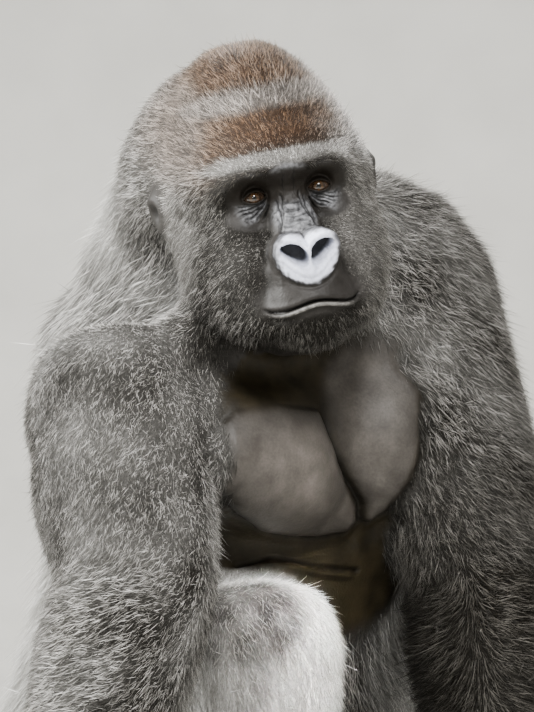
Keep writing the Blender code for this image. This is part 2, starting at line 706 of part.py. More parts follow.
def set_eye(head, frame, side, name):
    """Opens a socket and the slit between the lids, and sets the eyeball in it."""
    centre = mirrored(EYE_CENTRE, side)
    bm = bmesh.new()
    bmesh.ops.create_uvsphere(bm, u_segments=12, v_segments=8, radius=EYE_RADIUS)
    bm.transform(frame @ Matrix.Translation(centre) @ Matrix.Rotation(math.radians(90), 4, "X"))
    ball = mesh_object(bm, name)
    socket = grown(ball, GAP)
    opened = boolean(head, socket, "DIFFERENCE")
    bm = bmesh.new()
    slit = [(Vector((centre.x + x * 0.0125, centre.y - 0.006, centre.z + z * 0.0052)), Vector((0, -0.030, 0)))
            for x, z in ((-1, -0.1), (-0.5, 0.75), (0.1, 1.0), (0.6, 0.7), (1, 0), (0.55, -0.8), (0, -1.0), (-0.6, -0.75))]
    skin_rings(bm, [[frame @ point for point, _ in slit], [frame @ (point + reach) for point, reach in slit]])
    lids = mesh_object(bm, "slit")
    result = boolean(opened, lids, "DIFFERENCE")
    discard(head, socket, opened, lids)
    return result, ball


def nail(place, point, outward, length, radii, name):
    """A curved nail, half sunk in its digit."""
    up = (place.to_3x3() @ outward).normalized()
    along = (place.to_3x3() @ length).normalized()
    along = (along - up * along.dot(up)).normalized()
    turn = Matrix((along.cross(up), along, up)).transposed().to_4x4()
    bm = bmesh.new()
    bmesh.ops.create_uvsphere(bm, u_segments=5, v_segments=3, radius=1)
    bm.transform(Matrix.Translation(place @ point) @ turn @ Matrix.Diagonal((*radii, 1)))
    bmesh.ops.triangulate(bm, faces=bm.faces)
    return mesh_object(bm, name)


def set_nails(parts):
    """Sets a nail in the flesh of each finger, thumb and toe."""
    nails = []
    for kind, frame_of, digits_of in (("hand", hand_frame, hand_digits), ("foot", foot_frame, foot_digits)):
        for side in ("R", "L"):
            flesh = parts[f"{kind}_{side}"]
            for number, (rows, point, outward, length) in enumerate(digits_of(side)):
                radii = (rows[-1][1] * 0.78, rows[-1][1] * 0.95, 0.0032)
                plate = nail(frame_of(side), point, outward, length, radii, f"nail_{kind}_{side}_{number + 1}")
                bed = grown(plate, GAP)
                sunk = boolean(flesh, bed, "DIFFERENCE")
                discard(flesh, bed)
                flesh = sunk
                nails.append(plate)
            flesh.name = f"{kind}_{side}"
            parts[flesh.name] = flesh
    return nails


def recentre(objects):
    """Puts the origin on the floor, below the middle of the box round all objects."""
    corners = [obj.matrix_world @ vertex.co for obj in objects for vertex in obj.data.vertices]
    low = Vector(min(point[axis] for point in corners) for axis in range(3))
    high = Vector(max(point[axis] for point in corners) for axis in range(3))
    middle = (low + high) / 2
    shift = Vector((-middle.x, -middle.y, -low.z))
    for obj in objects:
        obj.data.transform(Matrix.Translation(shift))
    return shift


def finish(objects):
    """Gives every object the material of its kind and shades it smooth."""
    materials = {}
    for name, (colour, roughness) in FINISHES.items():
        material = bpy.data.materials.new(name)
        material.use_nodes = True
        shader = material.node_tree.nodes["Principled BSDF"]
        shader.inputs["Base Color"].default_value = (*colour, 1)
        shader.inputs["Roughness"].default_value = roughness
        materials[name] = material
    for obj in objects:
        obj.data.name = obj.name
        obj.data.materials.clear()
        obj.data.materials.append(materials[KINDS.get(obj.name.split("_")[0], COAT)])
        obj.data.shade_smooth()
        obj.data.set_sharp_from_angle(angle=math.radians(50))


def main():
    for obj in list(bpy.data.objects):
        bpy.data.objects.remove(obj)
    forms = [(add_trunk,), (add_whole_head,)]
    for side in ("R", "L"):
        forms += [(add_arm, side), (add_hand, side), (add_leg, side), (add_foot, side)]
    flesh = formed("flesh", BODY_MESH, forms)
    floor = floor_space()
    level = boolean(flesh, floor, "DIFFERENCE")
    discard(flesh, floor)
    limbs, flesh, arms = part_limbs(level)
    parts = {obj.name: obj for obj in [*limbs, *part_head(flesh, arms)]}
    nails = set_nails(parts)
    objects = [*parts.values(), *nails]
    finish(objects)
    return recentre(objects)


SHIFT = main()
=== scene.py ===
"""A life-size seated gorilla: one skin with a fine face, a coat of solid tufts, eyes and nails."""
import math

import bmesh
import bpy
import numpy as np
from mathutils import Matrix, Vector
from mathutils.bvhtree import BVHTree


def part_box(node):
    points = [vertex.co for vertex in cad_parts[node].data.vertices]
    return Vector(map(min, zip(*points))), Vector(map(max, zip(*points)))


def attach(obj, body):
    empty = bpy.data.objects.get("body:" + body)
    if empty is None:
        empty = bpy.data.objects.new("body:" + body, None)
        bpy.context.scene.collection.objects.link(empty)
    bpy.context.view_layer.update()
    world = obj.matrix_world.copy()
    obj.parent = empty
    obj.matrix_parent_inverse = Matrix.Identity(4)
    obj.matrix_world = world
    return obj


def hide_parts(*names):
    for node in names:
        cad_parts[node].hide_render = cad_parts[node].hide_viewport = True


# The head's turn, tip and bow in degrees, and its eyes in its own frame: x left, y back, z up.
HEAD_TURN, HEAD_TIP, HEAD_BOW = -22.6, -10.2, -4.2
EYE_PLACE, EYE_RADIUS = np.array((0.0368, -0.1015, 0.007)), 0.0132

# The skin's mesh: its coarsest edge, and how far neighbouring solids are grown into each other.
SKIN_EDGE = 0.0061
OVERLAP = 0.0009
# Points of two solids that are closer than this lie on their common cut.
MEETING_GAP = 0.0015

# For each kind of node: rounds of smoothing, the coat's depth, its tufts' length, their lift off the skin,
# their number on a square metre, and their width at the root.
KINDS = {
    "trunk": (34, 0.011, 0.034, 0.32, 92e3, 0.0017),
    "neck": (34, 0.009, 0.024, 0.34, 195e3, 0.0012),
    "upper": (31, 0.007, 0.014, 0.36, 325e3, 0.00102),
    "forearm": (27, 0.008, 0.016, 0.36, 290e3, 0.00106),
    "thigh": (27, 0.008, 0.019, 0.32, 190e3, 0.0012),
    "shin": (24, 0.008, 0.018, 0.32, 150e3, 0.0013),
    "head": (21, 0.0052, 0.0135, 0.32, 430e3, 0.00078),
    "hand": (2, 0.002, 0.012, 0.2, 120e3, 0.001),
    "foot": (2, 0.002, 0.01, 0.2, 120e3, 0.001),
    "ear": (1, 0.0, 0.009, 0.2, 90e3, 0.0009),
}
# The rounds of smoothing that the face gets instead, and those that the breast gets on top.
FACE_ROUNDS = 3.5
CHEST_ROUNDS = 41

FLESH = ["head", "neck", "trunk", "ear_R", "ear_L"]
for limb_kind in ("upper_arm", "forearm", "hand", "thigh", "shin", "foot"):
    FLESH += [limb_kind + "_R", limb_kind + "_L"]
SIDES = (("R", -1), ("L", 1))
MARKS = ("silver", "chestnut", "pale", "dark")

# Lines on the trunk's front, as shares of its width and height: both breast muscles and a fold of the belly.
BREAST_R = (
    (0.2, 0.77), (0.31, 0.774), (0.435, 0.763), (0.447, 0.728), (0.47, 0.697), (0.53, 0.659),
    (0.566, 0.632), (0.578, 0.607), (0.555, 0.591), (0.48, 0.587), (0.4, 0.592), (0.31, 0.604),
    (0.23, 0.63), (0.14, 0.665), (0.09, 0.72),
)
BREAST_L = (
    (0.452, 0.765), (0.5, 0.82), (0.568, 0.855), (0.66, 0.86), (0.705, 0.81), (0.69, 0.74),
    (0.672, 0.68), (0.654, 0.644), (0.632, 0.618), (0.606, 0.602), (0.584, 0.607), (0.572, 0.632),
    (0.536, 0.659), (0.476, 0.697), (0.453, 0.728),
)
BELLY_FOLD = ((0.3, 0.553), (0.372, 0.563), (0.427, 0.557), (0.494, 0.547), (0.6, 0.538))

# The folds below an eye fan out from near its inner corner: their turns below level in degrees, and lengths.
FAN_PLACE = (0.0215, 0.003)
FAN_LINES = ((11, 0.041), (23, 0.043), (35, 0.042), (47, 0.037), (60, 0.031), (76, 0.028))
# The folds beside the bridge of the nose: where each starts, and its top and low end.
BESIDE_LINES = ((0.0165, 0.004, -0.04), (0.012, 0.01, -0.03), (0.0205, -0.014, -0.048))

# Half the eye's opening, and the middle of the opened socket behind it, in the head's frame.
LID_HALF, SOCKET_DEPTH = 0.0128, -0.0965
# What lies behind these planes of the head's frame isn't shaped with the eyes or the face.
EYES_BACK, FACE_BACK = -0.06, -0.045
# A nostril's place across and up, its slant in degrees, and its radii; the mouth's height and half its width.
NOSTRIL_PLACE, NOSTRIL_SLANT, NOSTRIL_RADII = (0.0142, -0.064), 42, (0.0168, 0.0086)
MOUTH_HEIGHT, MOUTH_HALF = -0.1165, 0.053

# Patches in the head's frame: strength, centre, radii and edge width. All but the chestnut ones are mirrored.
BARE_FACE = (
    (1, (0.038, -0.112, 0.01), (0.026, 0.045, 0.02), 0.35),
    (1, (0.043, -0.108, -0.012), (0.024, 0.04, 0.015), 0.3),
    (1, (0, -0.125, -0.006), (0.03, 0.045, 0.04), 0.3),
    (1, (0, -0.16, -0.066), (0.041, 0.045, 0.04), 0.4),
    (1, (0, -0.15, -0.109), (0.046, 0.05, 0.0175), 0.8),
)
CHESTNUT = (
    (0.95, (-0.004, -0.095, 0.081), (0.038, 0.055, 0.016), 1.3),
    (0.85, (-0.008, -0.03, 0.16), (0.05, 0.075, 0.03), 1.1),
    (0.6, (0.0, -0.12, 0.0545), (0.026, 0.03, 0.0042), 0.8),
    (0.78, (-0.026, -0.05, 0.115), (0.102, 0.11, 0.062), 0.9),
)
PALE = (
    (1.0, (0.02, -0.115, 0.0452), (0.057, 0.05, 0.0066), 0.9),
    (0.5, (0.03, -0.06, 0.116), (0.065, 0.06, 0.009), 1.1),
    (0.8, (0.112, 0.0, -0.03), (0.018, 0.045, 0.05), 0.8),
    (0.3, (0.11, 0.04, 0.08), (0.06, 0.1, 0.07), 0.5),
)
DARK = (
    (0.66, (0.0, -0.12, -0.162), (0.062, 0.075, 0.036), 0.6),
    (0.75, (0.0, -0.15, -0.092), (0.052, 0.05, 0.036), 0.5),
    (0.35, (0.08, -0.04, -0.13), (0.035, 0.08, 0.05), 0.6),
    (0.8, (0.04, -0.115, 0.018), (0.04, 0.04, 0.02), 0.5),
    (0.24, (0.05, -0.09, -0.06), (0.055, 0.06, 0.08), 0.5),
)


# ---- small helpers ----


def smoothstep(t):
    t = np.clip(t, 0.0, 1.0)
    return t * t * (3 - 2 * t)


def rises(value, start, width):
    """0 up to start, 1 from a width beyond it."""
    return smoothstep((value - start) / width)


def falls(value, end, width):
    """1 until a width before end, 0 from there on."""
    return smoothstep((end - value) / width)


def blob(points, centre, radii, edge):
    """1 inside an ellipsoid, fading to 0 just outside it."""
    reach = np.linalg.norm((points - np.array(centre)) / np.array(radii), axis=1)
    return smoothstep((1 + edge - reach) / edge)


def strongest(points, patches):
    """The strongest of some patches, each with its strength, centre, radii and edge width."""
    return np.max([strength * blob(points, *shape) for strength, *shape in patches], axis=0)


def hill(distance, width):
    """A smooth hill of height 1 round distance 0."""
    return np.exp(-((distance / width) ** 2))


def lengths(vectors):
    return np.linalg.norm(vectors, axis=1)


def unit(vectors):
    return vectors / np.maximum(lengths(vectors), 1e-9)[:, None]


def across(vectors, normals):
    """The vectors without their part along the normals."""
    return vectors - normals * np.sum(vectors * normals, axis=1)[:, None]


def greater(first, second, width):
    """The greater of two fields, with the crease between them rounded over a width."""
    share = np.clip(0.5 + 0.5 * (first - second) / width, 0, 1)
    return second + (first - second) * share + width * share * (1 - share)


def line_distance(x, z, start, end):
    along_x, along_z = end[0] - start[0], end[1] - start[1]
    share = np.clip(((x - start[0]) * along_x + (z - start[1]) * along_z) / (along_x**2 + along_z**2), 0, 1)
    return np.hypot(x - start[0] - share * along_x, z - start[1] - share * along_z)


def depth_inside(x, z, outline):
    """How far inside a closed outline each place lies, under 0 outside it."""
    nearest = np.full(len(x), np.inf)
    inside = np.zeros(len(x), bool)
    for start, end in zip(outline, (*outline[1:], outline[0])):
        nearest = np.minimum(nearest, line_distance(x, z, start, end))
        if start[1] != end[1]:
            crossing = start[0] + (z - start[1]) * (end[0] - start[0]) / (end[1] - start[1])
            inside ^= ((start[1] > z) != (end[1] > z)) & (x < crossing)
    return np.where(inside, nearest, -nearest)


def waves(points, size, seed):
    """Smooth noise from -1 to 1 with features of about size."""
    draw = np.random.default_rng(seed)
    total = np.zeros(len(points))
    for _ in range(7):
        direction = draw.normal(size=3)
        direction *= 2 * math.pi / (size * draw.uniform(0.7, 1.6)) / np.linalg.norm(direction)
        total += np.sin(points @ direction + draw.uniform(0, 2 * math.pi))
    return total / 3.7


def new_object(name, data):
    obj = bpy.data.objects.new(name, data)
    bpy.context.scene.collection.objects.link(obj)
    return obj


def mesh_from(bm, name):
    mesh = bpy.data.meshes.new(name)
    bm.to_mesh(mesh)
    bm.free()
    return mesh


def kind_of(node):
    return node.split("_")[0]


def belongs(owners, *nodes):
    """Which points lie on any of these nodes, from the numbers in FLESH of the points' own nodes."""
    return np.isin(owners, [FLESH.index(node) for node in nodes])


def is_of(owners, *kinds):
    """Which points lie on a node of any of these kinds."""
    return np.isin(owners, [number for number, node in enumerate(FLESH) if kind_of(node) in kinds])


def of_kinds(owners, first, last):
    """Some columns of KINDS for each point."""
    return np.array([KINDS[kind_of(node)][first:last] for node in FLESH], float)[owners]


# ---- frame ----


def middle(node):
    low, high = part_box(node)
    return np.array((low + high) / 2)


def between_eyes():
    return (middle("eye_R") + middle("eye_L")) / 2


def corners_of(node):
    return [np.array(corner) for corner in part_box(node)]


def in_trunk(*shares):
    """A place given as shares of the trunk's box."""
    low, high = corners_of("trunk")
    return low + (high - low) * shares


def head_axes():
    """The head's own frame: a matrix whose columns are its axes, and the place of its origin."""
    turn = Matrix.Rotation(math.radians(HEAD_TURN), 3, "Z")
    tip = Matrix.Rotation(math.radians(HEAD_TIP), 3, "Y")
    bow = Matrix.Rotation(math.radians(HEAD_BOW), 3, "X")
    axes = np.array(turn @ tip @ bow)
    return axes, between_eyes() - axes @ (EYE_PLACE * (0, 1, 1))


def node_points(node):
    return np.array([vertex.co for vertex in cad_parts[node].data.vertices])


def meeting(node, other):
    """The middle of the cut between two nodes."""
    points, others = node_points(node), node_points(other)
    gaps = np.array([np.min(lengths(others - point)) for point in points])
    return points[gaps < MEETING_GAP].mean(axis=0)


# ---- skin ----


def joined_flesh():
    """All nodes of flesh in one closed skin, with the eye sockets filled."""
    whole = bmesh.new()
    for node in FLESH:
        part = bmesh.new()
        part.from_mesh(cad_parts[node].data)
        bmesh.ops.remove_doubles(part, verts=part.verts, dist=1e-5)
        bmesh.ops.recalc_face_normals(part, faces=part.faces)
        part.normal_update()
        moves = [vertex.normal * OVERLAP * min(vertex.calc_shell_factor(), 2.0) for vertex in part.verts]
        for vertex, move in zip(part.verts, moves):
            vertex.co += move
        carried = mesh_from(part, "part")
        whole.from_mesh(carried)
        bpy.data.meshes.remove(carried)
    place = Matrix.Translation(origin) @ Matrix(axes.tolist()).to_4x4()
    for side in (-1, 1):
        centre = Vector(EYE_PLACE * (side, 1, 1))
        lids = place @ Matrix.Translation(centre) @ Matrix.Diagonal((0.022, 0.0152, 0.0152, 1))
        bmesh.ops.create_icosphere(whole, subdivisions=3, radius=1, matrix=lids)
    obj = new_object("skin", mesh_from(whole, "skin"))
    remesh = obj.modifiers.new("Join", "REMESH")
    remesh.mode = "VOXEL"
    remesh.voxel_size = SKIN_EDGE
    graph = bpy.context.evaluated_depsgraph_get()
    joined = bpy.data.meshes.new_from_object(obj.evaluated_get(graph))
    obj.modifiers.clear()
    obj.data = joined
    return obj


def read(items, name, kind, width):
    """What a mesh stores under a name, in one row for each item."""
    values = np.empty(len(items) * width, kind)
    items.foreach_get(name, values)
    return values.reshape(-1, width)


def coordinates(mesh):
    return read(mesh.vertices, "co", np.float32, 3).astype(float)


def normals_of(mesh):
    return read(mesh.vertex_normals, "vector", np.float32, 3).astype(float)


def edge_ends(mesh):
    return read(mesh.edges, "vertices", np.int32, 2)


def relaxed(values, ends, rounds, share=0.5):
    """The values after some rounds in which each vertex moves by a share towards its neighbours' mean."""
    count, (first, second) = len(values), ends.T
    neighbours = np.bincount(ends.ravel(), minlength=count)
    share = (share / np.maximum(neighbours, 1))[:, None]
    full = share * neighbours[:, None]
    rows = values.reshape(count, -1)
    for _ in range(rounds):
        sums = [np.bincount(first, a[second], count) + np.bincount(second, a[first], count) for a in rows.T]
        rows = rows + np.column_stack(sums) * share - rows * full
    return rows.reshape(values.shape)


def nearest_nodes(points):
    """For each point the number in FLESH of the node nearest to it."""
    corners, faces, owners = [], [], []
    for number, node in enumerate(FLESH):
        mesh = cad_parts[node].data
        start = len(corners)
        corners += [vertex.co.copy() for vertex in mesh.vertices]
        faces += [[start + index for index in polygon.vertices] for polygon in mesh.polygons]
        owners += [number] * len(mesh.polygons)
    tree = BVHTree.FromPolygons(corners, faces)
    return np.array([owners[tree.find_nearest(Vector(point))[2]] for point in points])


def in_head(points):
    return (points - origin) @ axes


def face_region(local):
    """1 where the face's fine forms are."""
    return blob(local, (0, -0.13, -0.045), (0.085, 0.08, 0.115), 0.15)


def refined(obj, chosen):
    """Each face whose corners are all chosen becomes four."""
    bm = bmesh.new()
    bm.from_mesh(obj.data)
    bm.verts.ensure_lookup_table()
    faces = [face for face in bm.faces if all(chosen[vertex.index] for vertex in face.verts)]
    lines = list({edge for face in faces for edge in face.edges})
    bmesh.ops.subdivide_edges(bm, edges=lines, cuts=1, use_grid_fill=True)
    bm.to_mesh(obj.data)
    bm.free()


def move_to(mesh, points):
    mesh.vertices.foreach_set("co", points.astype(np.float32).ravel())
    mesh.update()


def smooth_base(obj):
    """Takes the solids' facets out of the skin, more on the body than on face, hands and feet."""
    points, ends = coordinates(obj.data), edge_ends(obj.data)
    owners = nearest_nodes(points)
    rounds = of_kinds(owners, 0, 1)[:, 0]
    face = face_region(in_head(points))
    rounds = rounds * (1 - face) + FACE_ROUNDS * face
    rounds += CHEST_ROUNDS * blob(points, in_trunk(0.44, 0.1, 0.67), (0.105, 0.08, 0.095), 0.4)
    rounds = relaxed(rounds, ends, 6)
    for number in range(int(rounds.max())):
        points = relaxed(points, ends, 1, 0.5 * np.clip(rounds - number, 0, 1))
    move_to(obj.data, points)


# ---- sculpting ----


def almond(local, side):
    """Height inside the eye's opening, under 0 outside it."""
    u = (local[:, 0] * side - EYE_PLACE[0]) / LID_HALF
    v = local[:, 2] - EYE_PLACE[2] + 0.0008 * u
    out = np.minimum(np.abs(u), 1)
    upper, lower = 0.006 * (1 - out**2.4), -0.0056 * (1 - out**2)
    return np.minimum(upper - v, v - lower) - np.maximum(np.abs(u) - 1, 0) * LID_HALF


def shape_eyes(local):
    """Lids that lie on the eyeballs, and the opening between them."""
    for side in (-1, 1):
        inside = almond(local, side)
        offset = local - EYE_PLACE * (side, 1, 1)
        flat = np.hypot(offset[:, 0], offset[:, 2])
        lid = EYE_PLACE[1] - np.sqrt(np.maximum((EYE_RADIUS + 0.0019) ** 2 - flat**2, 2.5e-5))
        near = falls(flat, 0.0185, 0.0075) * (local[:, 1] < EYES_BACK)
        local[:, 1] += (lid - local[:, 1]) * near
        # The edges of the lids stand a little proud, with a fold above and one below.
        rim = hill(inside + 0.0016, 0.0013) * near
        fold = hill(inside + 0.0046, 0.0009) * near
        local[:, 1] -= 0.0009 * rim - 0.0008 * fold
        opened = rises(inside, -0.0002, 0.0011) * (flat < 0.0175) * (local[:, 1] < EYES_BACK)
        local[:, 1] += (SOCKET_DEPTH - local[:, 1]) * opened
    return local


def nostril(local, side):
    """How far out from a nostril's middle, 1 on its rim."""
    dx = local[:, 0] * side - NOSTRIL_PLACE[0]
    dz = local[:, 2] - NOSTRIL_PLACE[1]
    slant = math.radians(NOSTRIL_SLANT)
    along = dx * math.cos(slant) + dz * math.sin(slant)
    over = -dx * math.sin(slant) + dz * math.cos(slant)
    bow = 10 * along**2
    return np.hypot(along / NOSTRIL_RADII[0], (over + bow - 0.001) / NOSTRIL_RADII[1])


def nose_heart(local):
    """Over 0 inside the outline of the heart-shaped nose, in metres."""
    x, z = np.abs(local[:, 0]), local[:, 2]
    wing = 0.0232 - np.hypot(x - 0.0155, z + 0.0585)
    low = 0.0262 - np.hypot(x * 0.9, (z + 0.073))
    return greater(wing, low, 0.016)


def mouth_height(x):
    """The height of the line between the lips."""
    share = np.clip(np.abs(x) / MOUTH_HALF, 0, 1.2)
    return MOUTH_HEIGHT - 0.0065 * smoothstep(share / 0.8) + 0.0055 * share**6


def fan_place(local, side):
    """Distance from the inner corner of an eye, and the turn below level that the folds there follow."""
    x, z = local[:, 0] * side - FAN_PLACE[0], local[:, 2] - FAN_PLACE[1]
    distance = np.hypot(x, z)
    turn = np.degrees(np.arctan2(-z, x))
    return distance, turn / np.clip(1 - 0.3 * distance / 0.04, 0.5, 1) + 5.0 * waves(local, 0.02, 5)


def stretch_lines(local, side):
    """Lines of the folds that fan out below the eye and run down beside the bridge of the nose, for their
    grooves and the painted shade in them.
    """
    distance, turn = fan_place(local, side)
    total = np.zeros(len(local))
    for number, (line_turn, reach) in enumerate(FAN_LINES):
        gap = np.radians(turn - line_turn) * np.maximum(distance, 0.008)
        span = rises(distance, 0.004, 0.004) * falls(distance, reach, 0.01)
        total = np.maximum(total, (0.8 + 0.2 * (number % 2)) * span * hill(gap, 0.0015))
    x, z = local[:, 0] * side, local[:, 2]
    wobble = waves(local, 0.016, 6) * 0.0009
    for number, (start_x, top, low) in enumerate(BESIDE_LINES):
        share = np.clip((top - z) / (top - low), 0, 1)
        line = start_x + 0.006 * share**2 - 0.003 * np.sin(math.pi * share) + wobble
        span = falls(z, top, 0.008) * rises(z, low, 0.01)
        total = np.maximum(total, (0.95 - 0.12 * number) * span * hill(x - line, 0.0015))
    return total * (local[:, 1] < -0.05)


def bridge_lines(local):
    """Short folds across the bridge of the nose and up between the brows."""
    x, y, z = local.T
    wobble = waves(local, 0.012, 8) * 0.0012
    total = np.zeros(len(local))
    for height in (-0.006, -0.014, -0.0215, -0.028):
        arch = height + 8.0 * x**2 + wobble
        total = np.maximum(total, 0.62 * hill(z - arch, 0.0013) * falls(np.abs(x), 0.016, 0.006))
    for place in (-0.0065, 0.006):
        total = np.maximum(total, 0.6 * hill(x - place + wobble, 0.001) * hill(z - 0.018, 0.012))
    return total * (y < -0.05)


def shape_face(points, normals):
    """Moves the skin's points to the folds and forms of the face, and gives the masks that colour it, with
    painted shade in folds, nostrils and mouth line.
    """
    local = in_head(points)
    front = local[:, 1] < FACE_BACK
    outward = normals @ axes
    x, z = local[:, 0], local[:, 2]
    # The heart-shaped nose stands off the face with a crease all round it.
    heart = nose_heart(local)
    on_front = falls(local[:, 1], -0.075, 0.03)
    push = 0.0026 * rises(heart, -0.0015, 0.009) - 0.0018 * hill(heart + 0.002, 0.0026)
    push -= 0.0018 * hill(x, 0.0017) * hill(z + 0.05, 0.016) * (heart > -0.004)
    holes, nostril_edge_shade = np.zeros(len(local)), np.zeros(len(local))
    for side in (-1, 1):
        out = nostril(local, side)
        push += 0.002 * hill(out - 1.42, 0.3) * rises(heart, -0.001, 0.005)
        holes = np.maximum(holes, falls(out, 1.08, 0.22) * on_front)
        nostril_edge_shade = np.maximum(nostril_edge_shade, falls(out, 1.55, 0.75) * on_front)
    local += outward * (push * on_front)[:, None]
    # Lips: a deep line, a narrow lower lip that stands out, and a soft upper one.
    line = mouth_height(x)
    width = falls(np.abs(x), 0.057, 0.01) * on_front
    rise = z - line
    mouth = hill(rise, 0.0013) * width
    lower_lip = hill(rise + 0.0043, 0.0028) * width
    lips = 0.0022 * lower_lip + 0.0012 * hill(rise - 0.005, 0.0034) * width
    lips -= 0.002 * hill(rise + 0.0108, 0.0034) * width
    local += outward * lips[:, None]
    local[:, 1] += 0.0062 * mouth
    # The fold from the wing of the nose past the corner of the mouth.
    share = np.clip((-0.07 - z) / 0.055, 0, 1)
    fold_x = 0.0405 + 0.018 * share**1.3
    fold = hill(np.abs(x) - fold_x, 0.007) * rises(share, 0.05, 0.3) * falls(share, 1.0, 0.2)
    local += outward * (-0.0012 * fold * on_front)[:, None]
    # A heavy straight brow, with the sockets drawn in below it.
    brow = hill(z - 0.0335 + 1.2 * x**2, 0.0085) * falls(np.abs(x), 0.074, 0.022)
    socket = hill(z - 0.0185, 0.006) * hill(np.abs(x) - 0.036, 0.02)
    local[:, 1] += (0.003 * socket - 0.005 * brow) * on_front
    # Fine folds of the skin, with painted shade along them.
    creases = np.maximum(stretch_lines(local, -1), stretch_lines(local, 1))
    creases = np.maximum(creases, bridge_lines(local))
    creases *= falls(heart, 0.004, 0.004)
    local += outward * ((0.0005 - 0.0018 * creases) * (creases > 0.01))[:, None]
    local = shape_eyes(local)
    local[:, 1] += 0.019 * holes
    local[:, 2] += 0.008 * holes
    moved = np.where(front[:, None], local @ axes.T + origin, points)
    # The nose's pale colour fades out softly at its top and is blotched along its lower edge.
    top = rises(z, -0.082, 0.025)
    fade, blotch = 0.0076 + 0.0052 * top, 0.0016 - 0.0004 * top
    red = rises(lower_lip, 0.45, 0.35) * rises(-rise, 0.0012, 0.0016) * front
    masks = {
        "nose": smoothstep((heart + 0.0016 + blotch * waves(local, 0.007, 9)) / fade) * on_front,
        # Painted shade inside the nostrils and, softer, round their edges.
        "hole": np.maximum(holes, 0.42 * nostril_edge_shade),
        "crease": creases * front,
        "lip": red * falls(np.abs(x), 0.056, 0.028),
        # Painted shade along the line between the lips.
        "mouth": mouth * front,
    }
    return moved, masks


def shape_chest(points, normals):
    """Shapes breast and belly, with masks of the muscles, of the folds for painted shade, and of the muscles'
    middles for painted light.
    """
    low, high = corners_of("trunk")
    size = high - low
    x, y, z = (points - low).T
    front = falls(y, 0.42 * size[1], 0.05) * falls(normals[:, 1], 0.25, 0.35)
    front *= blob(points, in_trunk(0.42, 0.1, 0.67), (0.2, 0.15, 0.19), 0.3)
    lines = (BREAST_R, BREAST_L, BELLY_FOLD)
    *breasts, belly = ([(a * size[0], b * size[2]) for a, b in line] for line in lines)
    depths = [depth_inside(x, z, outline) for outline in breasts]
    push, muscle = np.zeros(len(points)), np.zeros(len(points))
    fade = 1 - 0.75 * rises(z / size[2], 0.7, 0.09)
    for depth, height in zip(depths, (0.015, 0.012)):
        push += height * fade * np.sqrt(np.clip(1 - (1 - np.clip(depth / 0.046, 0, 1)) ** 2, 0, 1))
        muscle = np.maximum(muscle, rises(depth, -0.006, 0.022))
    edge = np.maximum(*depths)
    groove = hill(edge, 0.004) * falls(z / size[2], 0.775, 0.02)
    under = hill(edge + 0.012, 0.012) * falls(z / size[2], 0.64, 0.04)
    throat = hill(z / size[2] - 0.815, 0.03) * falls(x / size[0], 0.5, 0.1)
    push -= 0.0042 * groove + 0.006 * under + 0.011 * throat
    away = np.min([line_distance(x, z, *ends) for ends in zip(belly, belly[1:])], axis=0)
    height = np.interp(x, [a for a, _ in belly], [b for _, b in belly])
    line = hill(away, 0.0022)
    push += 0.005 * hill(z - height + 0.006, 0.005) * falls(x, 0.62 * size[0], 0.05) - 0.0045 * line
    # Painted shade in the groove between the breast muscles and in the belly's fold.
    folds = np.maximum(groove * 0.8, line)
    # Painted light: lighter towards the muscles' middles, darker at their edges.
    swell = np.clip(edge / 0.06, 0, 1)
    return points + normals * (push * front)[:, None], muscle * front, folds * front, swell * front


# ---- fields over the skin ----


def one_sided(local):
    """The places with their left half laid over their right one."""
    return np.column_stack([np.abs(local[:, 0]), local[:, 1:]])


def bare_chest(points):
    """1 on the bare skin of chest and upper belly."""
    chest = (1, in_trunk(0.46, 0.1, 0.68), (0.16, 0.105, 0.15), 0.45)
    return strongest(points, (chest, (1, in_trunk(0.5, 0.16, 0.54), (0.15, 0.1, 0.07), 0.5)))


def fields(points, normals, ends):
    """Coat depth and length, lie of the coat, bareness and markings for each vertex of the skin."""
    owners = nearest_nodes(points)
    local = in_head(points)
    on = {kind: is_of(owners, kind) for kind in KINDS}
    bare = np.where(on["trunk"] | on["head"] | on["neck"], bare_chest(points), 0.0)
    # The coat is too short to raise the outline of the face, and grows longer only slowly away from it.
    thin = np.maximum(bare, on["head"] * blob(local, (0, -0.13, -0.03), (0.066, 0.07, 0.088), 0.9))
    bare = np.maximum(bare, on["head"] * strongest(one_sided(local), BARE_FACE))
    bare = np.maximum(bare, on["ear"] * 0.9)
    bare = np.where(on["hand"] | on["foot"], 1.0, bare)
    for side, _ in SIDES:
        # The coat thins out over the backs of hands and feet.
        for end, upper, reach in (("hand", "forearm", 0.075), ("foot", "shin", 0.085)):
            distance = lengths(points - meeting(f"{end}_{side}", f"{upper}_{side}"))
            back = rises(normals[:, 2] * 0.5 - normals[:, 1] * 0.5, -0.25, 0.4)
            cover = falls(distance, reach, 0.045) * (0.25 + 0.75 * back)
            bare = np.where(belongs(owners, f"{end}_{side}"), 1 - cover, bare)
    thin = relaxed(np.maximum(thin, np.where(on["head"], 0.0, bare)), ends, 12)
    bare = relaxed(bare, ends, 3)
    depth, length, lift = relaxed(of_kinds(owners, 1, 4), ends, 25).T
    shaggy = relaxed(belongs(owners, "upper_arm_L", "forearm_L").astype(float), ends, 25)
    return {
        "owners": owners,
        "bare": bare,
        "thin": thin,
        "depth": depth * (1 - thin),
        "length": length * (1 - 0.55 * thin * on["head"]) * (1 + 0.5 * shaggy),
        "lift": lift * (1 + 0.35 * shaggy),
        "flow": lie_of_coat(points, normals, local, owners, on, ends),
        "local": local,
        **markings(points, local, owners, on, ends),
    }


